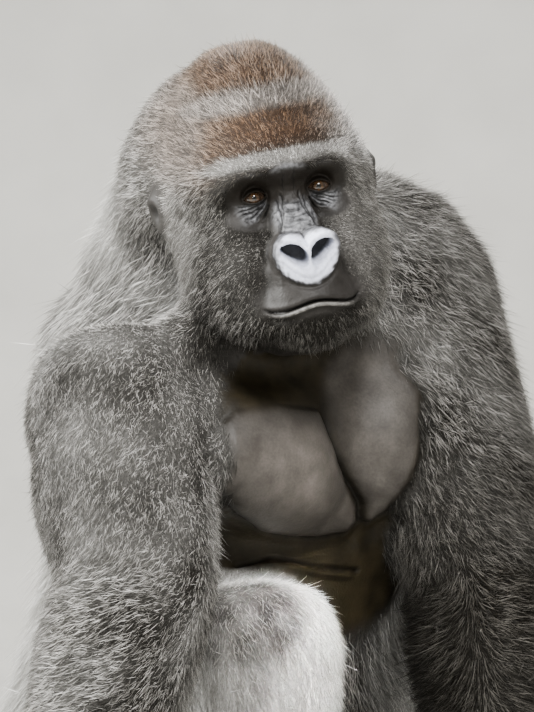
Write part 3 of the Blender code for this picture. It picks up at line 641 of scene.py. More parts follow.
def lie_of_coat(points, normals, local, owners, on, ends):
    """The way that the coat points, along the skin."""
    flow = np.zeros_like(points)
    for side, sign in SIDES:
        shoulder = meeting(f"upper_arm_{side}", "trunk")
        elbow = meeting(f"upper_arm_{side}", f"forearm_{side}")
        wrist = meeting(f"forearm_{side}", f"hand_{side}")
        hip = middle(f"thigh_{side}") * 0.5 + middle("trunk") * 0.5
        knee = meeting(f"thigh_{side}", f"shin_{side}")
        ankle = meeting(f"shin_{side}", f"foot_{side}")
        rules = {
            "upper_arm": (elbow - shoulder) + (0.05 * sign, 0.02, 0),
            "forearm": (elbow - wrist) * 0.15 + np.array((0.3 * sign, 0.22, -0.14)),
            "hand": middle(f"hand_{side}") - wrist,
            "thigh": (knee - hip) * 0.6 + (0, 0, -0.15),
            "shin": ankle - knee,
            "foot": middle(f"foot_{side}") - ankle,
            "ear": np.array((0.3 * sign, 0.8, 0.2)),
        }
        for node, direction in rules.items():
            flow[belongs(owners, f"{node}_{side}")] = direction / np.linalg.norm(direction)
    from_spine = points[:, 0] - middle("trunk")[0]
    from_spine = np.sign(from_spine) * smoothstep(np.abs(from_spine) / 0.12)
    ones = np.ones(len(points))
    by_kind = {
        "trunk": np.stack([0.35 * from_spine, np.where(normals[:, 1] > 0, 0.05, 0.25), -ones], axis=1),
        "neck": np.stack([0.45 * from_spine, 0.55 * ones, -0.85 * ones], axis=1),
        "head": head_flow(local) @ axes.T,
    }
    for kind, directions in by_kind.items():
        flow[on[kind]] = directions[on[kind]]
    flow = relaxed(unit(across(unit(flow), normals)), ends, 30)
    swirl = np.stack([waves(points, 0.075, seed) for seed in (11, 12, 13)], axis=1)
    return unit(across(unit(flow) + 0.16 * swirl, normals))


def head_flow(local):
    """The lie of the coat on the head, in the head's frame."""
    x, y, z = local.T
    out = np.sign(x) * smoothstep(np.abs(x) / 0.03)
    ones = np.ones(len(local))
    rise = 0.62 * falls(y, 0.06, 0.06) - 0.55 * rises(y, 0.08, 0.05)
    crown = np.stack([0.25 * out, 0.85 * ones, rise], axis=1)
    cheek = np.stack([0.45 * out, 0.5 * ones, -0.8 * ones], axis=1)
    chin = np.stack([0.15 * out, 0.3 * ones, -ones], axis=1)
    high = rises(z, 0.012, 0.05)[:, None]
    low = (falls(z, -0.125, 0.03) * falls(np.abs(x), 0.07, 0.03))[:, None]
    return (crown * high + cheek * (1 - high)) * (1 - low) + chin * low


def markings(points, local, owners, on, ends):
    """Masks for the coat's colours: silver, chestnut, pale and dark; silver and pale also carry painted
    light, and dark painted shade.
    """
    low, high = corners_of("trunk")
    share = (points - low) / (high - low)
    back = rises(share[:, 1], 0.35, 0.25)
    saddle = back * falls(share[:, 2], 0.8, 0.25)
    trunk, neck = 0.08 + 0.22 * back + 0.46 * saddle, 0.26 + 0.36 * back
    table = {"thigh": 1.0, "trunk": trunk, "shin": 1.0, "neck": neck, "upper": 0.12, "forearm": 0.08}
    silver = np.select([on[kind] for kind in table], list(table.values()), 0.0)
    left_arm = belongs(owners, "upper_arm_L", "forearm_L")
    silver = np.where(left_arm, 0.1, silver)
    silver = np.where(belongs(owners, "thigh_L", "shin_L"), 0.9, silver)
    # Painted light: silver on the trunk's front low down, for a lit band where the left thigh's top catches
    # light.
    painted_light_band = blob(share, (0.8, 0.3, 0.36), (0.09, 0.2, 0.13), 0.6)
    silver = np.maximum(silver, 0.55 * on["trunk"] * painted_light_band)
    silver = np.where(on["shin"], silver * rises(points[:, 2], 0.1, 0.22), silver)
    silver = relaxed(silver, ends, 36)
    # The right knee is dark on top and on its outer side.
    knee = meeting("thigh_R", "shin_R")
    patch = blob(points, knee + (-0.046, -0.054, 0.1), (0.06, 0.06, 0.046), 0.6)
    patch *= 0.9 + 0.2 * waves(points, 0.03, 23)
    side = blob(points, knee + (-0.07, -0.05, 0.03), (0.032, 0.06, 0.05), 0.8)
    patch = np.maximum(patch, 0.55 * side)
    # Painted light: the left cheek is made paler, and less dark, than the right one, as if lit more.
    cheek = blob(local, (0.078, -0.07, -0.055), (0.03, 0.06, 0.08), 0.9)
    pale = np.maximum(strongest(one_sided(local), PALE), 0.6 * cheek)
    dark = strongest(one_sided(local), DARK) * (1 - 0.8 * cheek)
    head = on["head"] | on["ear"]
    chestnut, pale, dark = (np.where(head, mask, 0.0) for mask in (strongest(local, CHESTNUT), pale, dark))
    # Painted shade: the left arm is darkened below the shoulder, a little more on its forearm.
    shade = 0.74 * falls(share[:, 2], 0.76, 0.12) + 0.12 * belongs(owners, "forearm_L")
    dark = np.maximum(dark, relaxed(np.where(left_arm, shade, 0.0), ends, 25))
    dark = np.maximum(dark, 0.22 * patch)
    streaks = waves(points * (1, 1, 0.45), 0.06, 21)
    silver = np.clip(silver + 0.1 * streaks * (silver > 0.05), 0, 1) * (1 - 0.8 * patch)
    return {"silver": silver, "chestnut": chestnut, "pale": pale, "dark": np.clip(dark, 0, 1)}


def build_skin():
    """The skin with its fine parts, inset by the coat's depth, with its fields and masks."""
    obj = joined_flesh()
    smooth_base(obj)
    points = coordinates(obj.data)
    owners = nearest_nodes(points)
    # Hands, feet, ears, chest and face get finer faces, the face in three steps.
    chest = belongs(owners, "trunk", "neck") & (bare_chest(points) > 0.3)
    refined(obj, is_of(owners, "hand", "foot", "ear") | chest | (face_region(in_head(points)) > 0.02))
    refined(obj, face_region(in_head(coordinates(obj.data))) > 0.5)
    local = in_head(coordinates(obj.data))
    refined(obj, blob(local, (0, -0.14, -0.04), (0.062, 0.08, 0.092), 0.05) > 0.5)
    points, ends = coordinates(obj.data), edge_ends(obj.data)
    fine = face_region(in_head(points))
    points = relaxed(points, ends, 4, 0.5 * (0.4 + 0.6 * fine))
    move_to(obj.data, points)
    normals = relaxed(normals_of(obj.data), ends, 4)
    data = fields(points, unit(normals), ends)
    points = points - unit(normals) * data["depth"][:, None]
    move_to(obj.data, points)
    points, masks = shape_face(points, normals_of(obj.data))
    points, data["muscle"], chest_fold_shade, data["swell"] = shape_chest(points, unit(normals))
    # Painted shade in the chest's folds joins that of the face.
    masks["crease"] = np.maximum(masks["crease"], 0.85 * chest_fold_shade)
    for ear in ("ear_R", "ear_L"):
        # The ear's hollow, inside a raised rim.
        out = lengths((points - middle(ear)) @ axes * (0.3, 1.25, 1.0))
        own = relaxed(belongs(data["owners"], ear).astype(float), ends, 2)
        hollow, rim = hill(out, 0.0085) * own, hill(out - 0.0165, 0.005) * own
        points += unit(normals) * (0.003 * rim - 0.0055 * hollow)[:, None]
        # Painted shade in the ear's hollow.
        masks["crease"] = np.maximum(masks["crease"], 0.9 * hollow)
    points[:, 2] = np.maximum(points[:, 2], 0)
    move_to(obj.data, points)
    data.update(masks)
    return obj, data


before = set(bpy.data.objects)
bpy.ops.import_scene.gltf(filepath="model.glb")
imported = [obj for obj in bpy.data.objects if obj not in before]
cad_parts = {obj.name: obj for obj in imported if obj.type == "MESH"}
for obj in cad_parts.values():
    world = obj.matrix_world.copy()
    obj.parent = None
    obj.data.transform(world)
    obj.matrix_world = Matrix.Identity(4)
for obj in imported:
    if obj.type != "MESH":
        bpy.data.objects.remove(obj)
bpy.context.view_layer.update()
axes, origin = head_axes()
skin, data = build_skin()


# ---- meshes with their own values ----


def put(mesh, name, values):
    """Stores one number or four for each vertex."""
    kind = "FLOAT" if values.ndim == 1 else "FLOAT_COLOR"
    attribute = mesh.attributes.new(name, kind, "POINT")
    attribute.data.foreach_set("value" if kind == "FLOAT" else "color", values.astype(np.float32).ravel())


def triangle_mesh(name, vertices, triangles):
    mesh = bpy.data.meshes.new(name)
    mesh.vertices.add(len(vertices))
    mesh.vertices.foreach_set("co", vertices.astype(np.float32).ravel())
    mesh.loops.add(triangles.size)
    mesh.loops.foreach_set("vertex_index", triangles.astype(np.int32).ravel())
    mesh.polygons.add(len(triangles))
    mesh.polygons.foreach_set("loop_start", np.arange(0, triangles.size, 3, dtype=np.int32))
    mesh.update(calc_edges=True)
    return new_object(name, mesh)


# ---- coat ----
# How far a tuft's turn strays, how much the tufts of a clump lean together, and the clump's size.
STRAY, LEAN, CLUMP = 0.24, 0.45, 0.0065
# The share of tufts that stand out of the coat, how deep roots are sunk, a tuft's size on the UV map, and the
# most tufts in one piece.
LOOSE, SUNK, PATCH, MOST_TUFTS = 0.06, 0.0012, 0.003, 66000
# The pieces that cover kinds of node without one of their own, and the node that a piece is unwrapped round.
JOINED = {"ear": "crest", "hand": "forearm_", "foot": "shin_"}
ROUND = {"face": "head", "crest": "head", "chest": "trunk", "back": "trunk", "rump": "trunk"}


def scattered(mesh, data):
    """Roots spread over the skin, more where the coat is finer, with the values of all fields there."""
    mesh.calc_loop_triangles()
    corners = read(mesh.loop_triangles, "vertices", np.int32, 3)
    points = coordinates(mesh)
    a, b, c = (points[corners[:, k]] for k in range(3))
    areas = lengths(np.cross(b - a, c - a)) / 2
    growth, width = of_kinds(data["owners"], 4, 6).T
    # The coat's edge is ragged.
    bare = data["bare"]
    ragged = np.clip(bare + 0.35 * waves(points, 0.01, 41) * bare * (1 - bare) * 4, 0, 1)
    wanted = growth * np.clip(1 - 1.1 * ragged, 0, 1)
    draw = np.random.default_rng(7)
    counts = np.floor(areas * wanted[corners].mean(axis=1) + draw.random(len(areas))).astype(int)
    chosen = np.repeat(corners, counts, axis=0)
    weights = draw.random((len(chosen), 2))
    flipped = weights.sum(axis=1) > 1
    weights[flipped] = 1 - weights[flipped]
    weights = np.column_stack([1 - weights.sum(axis=1), weights])
    names = ["length", "lift", *MARKS, "bare", "thin"]
    own = [data[name] for name in names]
    stacked = np.column_stack([points, normals_of(mesh), data["flow"], width, *own])
    values = np.einsum("nk,nkf->nf", weights, stacked[chosen])
    roots = {"place": values[:, 0:3], "normal": unit(values[:, 3:6]), "flow": unit(values[:, 6:9])}
    roots.update({name: values[:, 9 + k] for k, name in enumerate(["width", *names])})
    roots["owner"] = data["owners"][chosen[:, 0]]
    return roots


def unwrapped(place, node):
    """A cylinder's unwrap round a node: each place's turn and height, from 0 to 1."""
    low, high = corners_of(node)
    away = place - (low + high) / 2
    turn = np.arctan2(away[:, 0], -away[:, 1]) / (2 * math.pi) + 0.5
    height = (place[:, 2] - low[2]) / (high[2] - low[2])
    return np.column_stack([0.01 + 0.97 * turn, 0.01 + 0.97 * np.clip(height, 0, 1)])


def clumps(place):
    """For each root: the middle of its clump, and a random vector and number that the clump shares."""
    bent = place + 0.4 * CLUMP * np.column_stack([waves(place, CLUMP * 3, seed) for seed in (51, 52, 53)])
    cell = np.floor(bent / CLUMP).astype(np.int64)
    number = cell[:, 0] * 73856093 ^ cell[:, 1] * 19349663 ^ cell[:, 2] * 83492791
    _, index = np.unique(number, return_inverse=True)
    sizes = np.bincount(index)
    centre = np.column_stack([np.bincount(index, place[:, k]) / sizes for k in range(3)])
    draw = np.random.default_rng(3)
    return centre[index], draw.normal(size=(len(sizes), 3))[index], draw.random(len(sizes))[index]


def tufts(name, roots, node):
    """One mesh of thin three-sided tufts that lie along the skin in clumps, their roots sunk in it."""
    draw = np.random.default_rng(sum(map(ord, name)))
    count = len(roots["width"])
    normal, place = roots["normal"], roots["place"]
    centre, bend, shared = clumps(place)
    stray = (STRAY * (1 - 0.5 * roots["thin"]))[:, None]
    along = unit(across(roots["flow"] + stray * draw.normal(size=(count, 3)) + 0.2 * bend, normal))
    side = np.cross(along, normal)
    length = roots["length"] * draw.uniform(0.5, 1.15, count) * (1 - 0.55 * np.clip(roots["bare"], 0, 1))
    width = roots["width"] * draw.uniform(0.65, 1.25, count) * (1 - 0.25 * roots["thin"])
    lift = roots["lift"] * draw.uniform(0.25, 1.6, count)
    loose = draw.random(count) < LOOSE
    length *= np.where(loose, 1.7, 1.0)
    lift *= np.where(loose, 1.35, 1.0)
    reach = along * np.cos(lift)[:, None] + normal * np.sin(lift)[:, None]
    tip = place + reach * length[:, None] + LEAN * across(centre - place, normal)
    tip[:, 2] -= 0.08 * length
    tip[:, 2] = np.maximum(tip[:, 2], 0.0005)
    start = place - normal * SUNK
    ring = []
    for turn in map(math.radians, (90, 210, 330)):
        out = side * math.cos(turn) + normal * 0.55 * math.sin(turn)
        ring.append(start + out * (width / 2)[:, None])
    vertices = np.stack([*ring, tip], axis=1).reshape(-1, 3)
    base = np.arange(count)[:, None] * 4
    triangles = np.concatenate([base + (0, 1, 3), base + (1, 2, 3), base + (2, 0, 3)], axis=1).reshape(-1, 3)
    obj = triangle_mesh("coat_" + name, vertices, triangles)
    light = draw.random(count) < 0.36 + 0.08 * waves(place, 0.09, 33) + 0.12 * waves(place, 0.022, 35)
    tone = np.where(light, draw.uniform(0.66, 1.0, count), draw.uniform(0.0, 0.34, count))
    tone += 0.2 * (shared - 0.5) + 0.08 * waves(place, 0.03, 31) - 0.45 * np.clip(roots["bare"], 0, 1)
    put(obj.data, "tone", np.repeat(np.clip(tone, 0, 1), 4))
    put(obj.data, "along", np.tile([0.0, 0.0, 0.0, 1.0], count))
    put(obj.data, "marks", np.repeat(np.column_stack([roots[mark] for mark in MARKS]), 4, axis=0))
    spot = np.repeat(unwrapped(place, node), 4, axis=0)
    spot += np.tile(np.array([(0, 0), (0.5, 0), (1, 0), (0.5, 1)]) * PATCH, (count, 1))
    layer = obj.data.uv_layers.new(name="OFBake")
    layer.data.foreach_set("uv", spot[triangles.ravel()].astype(np.float32).ravel())
    return obj


def make_coat(skin, data):
    """The coat in pieces, each named after what it covers."""
    roots = scattered(skin.data, data)
    place, local = roots["place"], in_head(roots["place"])
    names = [JOINED.get(kind_of(node), node) for node in FLESH]
    names = [name + node[-1] if name.endswith("_") else name for name, node in zip(names, FLESH)]
    names = np.array(names).astype(object)[roots["owner"]]
    names[names == "head"] = np.where(local[names == "head", 1] < -0.035, "face", "crest")
    on_trunk = names == "trunk"
    back = place[:, 1] > in_trunk(0, 0.42, 0)[1]
    low = place[:, 2] < in_trunk(0, 0, 0.5)[2]
    names[on_trunk] = np.select([back & low, back], ["rump", "back"], "chest")[on_trunk]
    pieces = []
    for name in sorted(set(names)):
        chosen = np.flatnonzero(names == name)
        chosen = chosen[:: math.ceil(len(chosen) / MOST_TUFTS)]
        own = {key: value[chosen] for key, value in roots.items()}
        pieces.append(tufts(name, own, ROUND.get(name, name)))
    return pieces


# ---- eyes and nails ----
GAZE = (-0.1, -1.0, -0.02)
EYE_RINGS, EYE_TURNS = 36, 64


def make_eye(side_name):
    """A fine eyeball with a raised cornea, its rings drawn round the line of sight."""
    centre = middle("eye_" + side_name)
    ahead = unit(np.array([GAZE]) @ axes.T)[0]
    first = unit(across(np.array([[0.0, 0.0, 1.0]]), ahead[None]))[0]
    second = np.cross(ahead, first)
    # Rings close together on the iris and wider apart behind it.
    looks = math.pi * np.linspace(0, 1, EYE_RINGS + 1)[1:-1] ** 1.6
    turns = np.arange(EYE_TURNS) * 2 * math.pi / EYE_TURNS
    look, turn = (grid.ravel() for grid in np.meshgrid(looks, turns, indexing="ij"))
    look, turn = np.append(look, (0, math.pi)), np.append(turn, (0, 0))
    radius = EYE_RADIUS - 0.0004 + 0.0009 * hill(look, 0.4)
    around = np.cos(turn)[:, None] * first + np.sin(turn)[:, None] * second
    points = centre + radius[:, None] * (np.cos(look)[:, None] * ahead + np.sin(look)[:, None] * around)
    # The two poles come last, each as a row of its own, and have one triangle to a step instead of two.
    rows = np.arange(len(looks) * EYE_TURNS).reshape(-1, EYE_TURNS)
    rows = np.vstack([np.full(EYE_TURNS, rows.size), rows, np.full(EYE_TURNS, rows.size + 1)])
    beside = np.roll(rows, -1, axis=1)
    near = np.stack([rows[:-1], rows[1:], beside[1:]], -1)[:-1]
    far = np.stack([rows[:-1], beside[1:], beside[:-1]], -1)[1:]
    obj = triangle_mesh("eyeball_" + side_name, points, np.concatenate([near, far]).reshape(-1, 3))
    put(obj.data, "look", look)
    streak = sum(np.sin(k * turn + 1.7 * k * k) for k in (5, 9, 14, 19)) / 4
    put(obj.data, "streak", 0.5 + 0.5 * streak)
    return obj


# ---- materials ----


class Graph:
    """A material's nodes, each added with one call."""

    def __init__(self, name, roughness, specular):
        self.material = bpy.data.materials.new(name)
        self.material.use_nodes = True
        self.tree = self.material.node_tree
        self.shader = self.tree.nodes["Principled BSDF"]
        self.set("Roughness", roughness)
        self.set("Specular IOR Level", specular)

    def feed(self, socket, value):
        if isinstance(value, bpy.types.NodeSocket):
            self.tree.links.new(value, socket)
        elif socket.type == "RGBA":
            socket.default_value = (*value, 1)
        else:
            socket.default_value = value

    def set(self, name, value):
        self.feed(self.shader.inputs[name], value)

    def node(self, kind, inputs, output=0, **settings):
        node = self.tree.nodes.new("ShaderNode" + kind)
        for key, value in settings.items():
            setattr(node, key, value)
        for key, value in inputs.items():
            self.feed(node.inputs[key], value)
        return node.outputs[output]

    def math(self, operation, *values):
        return self.node("Math", dict(enumerate(values)), operation=operation)

    def scaled(self, value, by, plus=0.0):
        return self.math("MULTIPLY_ADD", value, by, plus)

    def mix(self, share, first, second, blend="MIX"):
        return self.node("Mix", {0: share, 6: first, 7: second}, 2, data_type="RGBA", blend_type=blend)

    def shaded(self, colour, value):
        return self.mix(1.0, colour, self.node("CombineColor", dict.fromkeys(range(3), value)), "MULTIPLY")

    def ramp(self, value, *stops):
        """A colour for each value, from (place, colour) stops."""
        node = self.tree.nodes.new("ShaderNodeValToRGB")
        while len(node.color_ramp.elements) < len(stops):
            node.color_ramp.elements.new(1.0)
        for element, (place, colour) in zip(node.color_ramp.elements, stops):
            element.position = place
            element.color = (*colour, 1)
        self.feed(node.inputs["Fac"], value)
        return node.outputs["Color"]

    def noise(self, scale, detail=3.0, stretch=(1, 1, 1)):
        place = self.node("TexCoord", {}, 3)
        place = self.node("Mapping", {"Vector": place, "Scale": stretch})
        return self.node("TexNoise", {"Vector": place, "Scale": scale, "Detail": detail})

    def bump(self, height, strength, distance):
        relief = {"Height": height, "Strength": strength, "Distance": distance}
        self.set("Normal", self.node("Bump", relief))

    def value(self, name):
        return self.node("Attribute", {}, 2, attribute_name=name)

    def four(self, name):
        """The four numbers stored under a name."""
        colour = self.node("Attribute", {}, 0, attribute_name=name)
        parts = self.tree.nodes.new("ShaderNodeSeparateColor")
        self.feed(parts.inputs[0], colour)
        return [*parts.outputs, self.node("Attribute", {}, 3, attribute_name=name)]


# The coat's colours from its darkest tufts, at 0, to its lightest, at 1: plain, and for each of MARKS.
COAT_COLOURS = (
    (
        (0, (0.01, 0.0085, 0.0055)), (0.42, (0.04, 0.036, 0.03)),
        (0.75, (0.3, 0.288, 0.268)), (1, (0.8, 0.775, 0.74)),
    ),
    ((0, (0.5, 0.49, 0.455)), (0.4, (0.88, 0.87, 0.84)), (1, (0.985, 0.98, 0.965))),
    ((0, (0.018, 0.0085, 0.0035)), (0.5, (0.1, 0.048, 0.02)), (1, (0.33, 0.185, 0.092))),
    ((0, (0.12, 0.113, 0.104)), (0.5, (0.42, 0.405, 0.38)), (1, (0.9, 0.88, 0.85))),
    ((0, (0.006, 0.0046, 0.0022)), (0.6, (0.018, 0.0148, 0.0095)), (1, (0.17, 0.156, 0.132))),
)


def coat_colour(graph, tone):
    """The coat's colour from a tuft's tone, from 0 dark to 1 light, and the markings."""
    plain, *marked = (graph.ramp(tone, *stops) for stops in COAT_COLOURS)
    for share, colour in zip(graph.four("marks"), marked):
        plain = graph.mix(share, plain, colour)
    return plain


def coat_material():
    graph = Graph("coat", 0.5, 0.27)
    root = graph.scaled(graph.value("along"), 1.5, graph.scaled(graph.four("marks")[0], 0.35, 0.14))
    root = graph.math("MINIMUM", root, 1.0)
    grain = graph.scaled(graph.noise(700, 2.0), 0.5, 0.75)
    colour = coat_colour(graph, graph.value("tone"))
    graph.set("Base Color", graph.shaded(colour, graph.math("MULTIPLY", root, grain)))
    return graph.material


def skin_material():
    """Bare skin of face, chest, hands and feet, and the fur's own colours under the coat, darkened partly as
    painted shade.
    """
    graph = Graph("skin", 0.5, 0.22)
    under = coat_colour(graph, graph.scaled(graph.noise(520, 4.0), 1.8, -0.6))
    # The fur's colours under the tufts are darkened, partly for the dark roots and skin there and partly as
    # painted shade deep in the coat; less under silver.
    under = graph.shaded(under, graph.scaled(graph.four("marks")[0], 0.45, 0.34))
    nose, lip, crease, grey = graph.four("face")
    face, muscle, socket, swell = graph.four("places")
    mottle = graph.noise(38, 4.0)
    speckle = graph.noise(330, 2.0)
    # Lit and shaded copies of the dark chest skin: the lighter one on the breast muscles is painted light,
    # the near-black one on belly, throat and the muscles' edges painted shade.
    chest = graph.ramp(mottle, (0.3, (0.04, 0.0355, 0.031)), (0.7, (0.073, 0.066, 0.0585)))
    # Painted light on the breast muscles: lighter in their middles, darker at their edges, with a fine
    # speckle.
    light = graph.math("MULTIPLY", graph.scaled(speckle, 0.6, 0.7), graph.scaled(swell, 0.7, 0.62))
    chest = graph.shaded(chest, light)
    belly = graph.ramp(mottle, (0.3, (0.006, 0.0045, 0.002)), (0.7, (0.019, 0.0145, 0.007)))
    black = graph.ramp(mottle, (0.3, (0.009, 0.0078, 0.0065)), (0.7, (0.026, 0.0237, 0.022)))
    colour = graph.mix(face, graph.mix(muscle, belly, chest), black)
    fine = graph.noise(190, 4.0)
    # Grey for the folds below the eyes and the bridge, also a painted sheen on the brow ridge.
    grey_skin_and_sheen = graph.ramp(fine, (0.35, (0.036, 0.036, 0.038)), (0.65, (0.2, 0.203, 0.215)))
    colour = graph.mix(grey, colour, grey_skin_and_sheen)
    # Lids and sockets near black: their dark skin, with painted shade under the brow.
    colour = graph.mix(socket, colour, (0.008, 0.006, 0.004))
    edge = (0.15, (0.024, 0.024, 0.025)), (0.55, (0.13, 0.132, 0.145))
    heart = graph.ramp(nose, *edge, (0.78, (0.42, 0.43, 0.485)), (1.0, (0.8, 0.84, 1.0)))
    heart = graph.shaded(heart, graph.scaled(fine, 1.0, 0.5))
    colour = graph.mix(graph.math("MINIMUM", graph.scaled(nose, 3.0), 1.0), colour, heart)
    red = graph.ramp(fine, (0.3, (0.08, 0.077, 0.072)), (0.7, (0.24, 0.232, 0.22)))
    colour = graph.mix(lip, colour, red)
    # Painted shade in the folds of face and chest, in the nostrils, along the mouth line and in the ear
    # hollows.
    colour = graph.shaded(colour, graph.scaled(crease, -0.97, 1.0))
    bare = graph.value("bare")
    graph.set("Base Color", graph.mix(bare, under, colour))
    graph.set("Roughness", graph.scaled(muscle, -0.07, graph.scaled(bare, -0.28, 0.82)))
    height = graph.math("ADD", graph.noise(420, 3.0), graph.scaled(graph.noise(95, 3.0), 1.5))
    graph.bump(height, 0.3, 0.0012)
    return graph.material


def eye_material():
    graph = Graph("eye", 0.06, 0.6)
    look = graph.value("look")
    iris = graph.ramp(graph.value("streak"), (0.2, (0.02, 0.01, 0.004)), (0.8, (0.078, 0.04, 0.016)))
    shares = ((0.0, 0.0), (0.18, 0.0), (0.22, 1.0), (0.44, 0.75), (0.52, 0.0))
    ring = graph.ramp(look, *((place, (share,) * 3) for place, share in shares))
    white = graph.ramp(look, (0.5, (0, 0, 0)), (0.62, (0.03, 0.017, 0.01)), (1, (0.06, 0.04, 0.028)))
    graph.set("Base Color", graph.mix(1.0, graph.mix(1.0, iris, ring, "MULTIPLY"), white, "ADD"))
    graph.set("Coat Weight", 1.0)
    graph.set("Coat Roughness", 0.02)
    return graph.material


def nail_material():
    graph = Graph("nail", 0.34, 0.5)
    grain = graph.noise(260, 3.0, (1, 1, 0.3))
    graph.set("Base Color", graph.ramp(grain, (0.3, (0.03, 0.026, 0.023)), (0.7, (0.085, 0.076, 0.068))))
    graph.bump(graph.noise(300, 2.0), 0.2, 0.0006)
    return graph.material


def floor_material():
    graph = Graph("floor", 0.85, 0.3)
    colour = graph.ramp(graph.noise(6, 4.0), (0.3, (0.33, 0.325, 0.305)), (0.7, (0.37, 0.365, 0.345)))
    graph.set("Base Color", colour)
    return graph.material


def store_masks(mesh, data):
    """Stores on the skin what its material reads."""
    put(mesh, "marks", np.column_stack([data[mark] for mark in MARKS]))
    put(mesh, "bare", np.clip(data["bare"], 0, 1))
    local = data["local"]
    on_head = belongs(data["owners"], "head") * rises(local[:, 2], -0.2, 0.02)
    face = np.maximum(on_head, 0.9 * is_of(data["owners"], "hand", "foot", "ear"))
    front = on_head * falls(local[:, 1], -0.03, 0.02)
    # Grey skin on the folds below the eyes and on the bridge, and a painted sheen on the brow ridge; dark
    # lids and eye sockets, with painted shade below the brow.
    grey = blob(local, (0.0, -0.125, -0.024), (0.017, 0.05, 0.024), 0.6)
    socket = 0.75 * blob(local, (0, -0.115, 0.014), (0.021, 0.05, 0.015), 0.6)
    for side in (-1, 1):
        distance, turn = fan_place(local, side)
        fan = rises(turn, 2, 9) * falls(turn, 66, 14) * falls(distance, 0.044, 0.018)
        grey = np.maximum(grey, fan * rises(distance, 0.003, 0.006))
        # Painted sheen on the brow ridge.
        painted_brow_sheen = blob(local, (side * 0.034, -0.13, 0.0345), (0.03, 0.04, 0.0045), 0.9)
        grey = np.maximum(grey, 0.66 * painted_brow_sheen)
        lid = rises(almond(local, side), -0.0045, 0.003)
        # Below the brow the socket's dark skin gets painted shade from the brow's overhang.
        above = blob(local, (side * 0.036, -0.105, 0.018), (0.034, 0.05, 0.011), 0.7)
        socket = np.maximum(socket, np.maximum(0.85 * lid, 0.88 * above))
    shadow = np.clip(0.95 * data["crease"] + 1.1 * data["hole"] + 0.9 * data["mouth"], 0, 1)
    put(mesh, "face", np.column_stack([data["nose"], data["lip"], shadow, grey * front * (1 - socket)]))
    put(mesh, "places", np.column_stack([face, data["muscle"], socket * front, data["swell"]]))


# ---- camera, stage and lights ----
# The camera's turn and height in degrees, its distance, and the picture's rows and their size at the object.
CAMERA_SIDE, CAMERA_HEIGHT, CAMERA_DISTANCE = -33.0, 4.0, 5.5
ROWS, ROW_SIZE = 712, 0.00113
# Where it looks, from the middle between the eyes.
CAMERA_AIM = (0.0376, 0.0956, -0.189)


def set_camera():
    target = between_eyes() + CAMERA_AIM
    side, height = math.radians(CAMERA_SIDE), math.radians(CAMERA_HEIGHT)
    back = Vector((math.sin(side) * math.cos(height), -math.cos(side) * math.cos(height), math.sin(height)))
    camera = new_object("camera", bpy.data.cameras.new("camera"))
    camera.location = Vector(target) + back * CAMERA_DISTANCE
    camera.rotation_euler = back.to_track_quat("Z", "Y").to_euler()
    camera.data.sensor_width = 36
    camera.data.lens = 36 * CAMERA_DISTANCE / (ROWS * ROW_SIZE)
    bpy.context.scene.camera = camera


# Each light's place, power, size, colour, and whether it shows in glossy surfaces.
LIGHTS = {
    "key": ((-1.6, -3.0, 4.2), 430, 1.8, (1.0, 0.99, 0.98), True),
    "fill": ((2.2, -3.8, 2.2), 50, 3.0, (1.0, 0.98, 0.94), False),
    "low": ((-2.2, -3.0, 0.9), 60, 1.4, (1.0, 0.98, 0.94), False),
    "knee": ((0.2, -2.4, 3.0), 1.1, 0.15, (1.0, 0.98, 0.95), False),
    "eyes": ((-3.6, -3.0, 2.0), 9, 0.25, (1.0, 1.0, 1.0), True),
    "rim_left": ((-3.3, 1.7, 2.2), 600, 1.4, (1.0, 1.0, 0.98), True),
    "rim_right": ((2.6, 2.4, 3.4), 360, 1.6, (1.0, 0.98, 0.94), True),
}


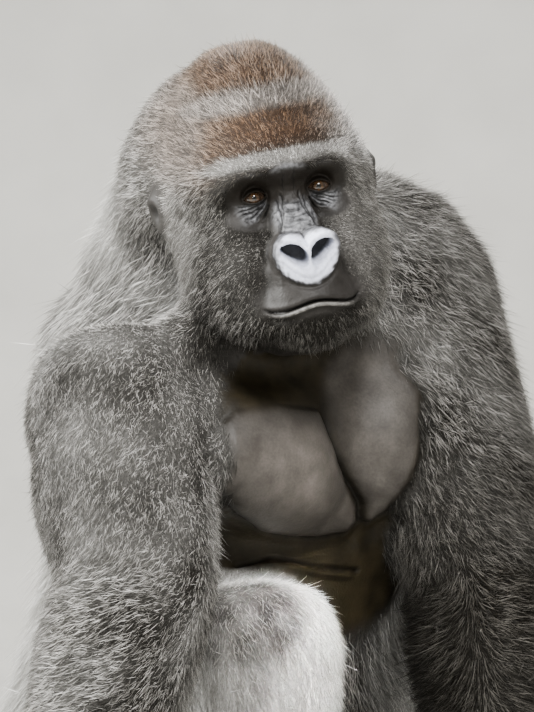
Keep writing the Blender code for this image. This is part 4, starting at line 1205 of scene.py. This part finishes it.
def set_lights():
    knee = meeting("thigh_R", "shin_R") + (0.06, -0.03, 0.0)
    aims = {"low": (-0.05, -0.1, 0.45), "knee": knee, "eyes": (0, 0, 0.9)}
    for name, (place, power, size, colour, mirrored) in LIGHTS.items():
        light = bpy.data.lights.new("light_" + name, "AREA")
        light.energy = power
        light.size = size
        light.color = colour
        light.spread = math.radians(5 if name == "knee" else 180)
        obj = new_object("light_" + name, light)
        obj.visible_glossy = mirrored
        obj.location = place
        aim = Vector(aims.get(name, (0, 0, 0.75)))
        obj.rotation_euler = (Vector(place) - aim).to_track_quat("Z", "Y").to_euler()
    world = bpy.data.worlds.new("world")
    world.use_nodes = True
    sky = world.node_tree.nodes["Background"].inputs
    sky["Color"].default_value = (1.0, 0.96, 0.87, 1)
    sky["Strength"].default_value = 0.33
    bpy.context.scene.world = world


def cover(obj, material):
    """Gives an object one material and smooth shading."""
    obj.data.materials.clear()
    obj.data.materials.append(material)
    obj.data.shade_smooth()


def set_stage():
    """A pale floor that curves up into a backdrop behind the object, as the camera sees it."""
    bm = bmesh.new()
    turn = Matrix.Rotation(math.radians(CAMERA_SIDE), 4, "Z")
    rows = [(-6.0, 0.0), (2.2, 0.0)]
    rows += [(2.2 + 1.5 * math.sin(a), 1.5 - 1.5 * math.cos(a)) for a in np.linspace(0.1, math.pi / 2, 12)]
    rows.append((3.7, 6.0))
    strips = [[bm.verts.new(turn @ Vector((x, y, z))) for x in (-9, 9)] for y, z in rows]
    for low, high in zip(strips, strips[1:]):
        bm.faces.new((low[0], low[1], high[1], high[0]))
    floor = new_object("floor", mesh_from(bm, "floor"))
    cover(floor, floor_material())


# ---- scene ----


def dress(obj, material, slot, *nodes):
    """Gives a piece its material, hangs it on the root's empty and hides the nodes that it stands for; the
    slot is not used.
    """
    cover(obj, material)
    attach(obj, "root")
    if nodes:
        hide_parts(*nodes)


set_camera()
set_stage()
set_lights()
store_masks(skin.data, data)
dress(skin, skin_material(), "skin", *FLESH)
coat_finish, eye_finish, nail_finish = coat_material(), eye_material(), nail_material()
for piece in make_coat(skin, data):
    dress(piece, coat_finish, "saddle" if kind_of(piece.name[5:]) in ("thigh", "rump") else "coat")
for side_name, _ in SIDES:
    dress(make_eye(side_name), eye_finish, "eye", "eye_" + side_name)
for node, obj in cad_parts.items():
    if kind_of(node) == "nail":
        cover(obj, nail_finish)
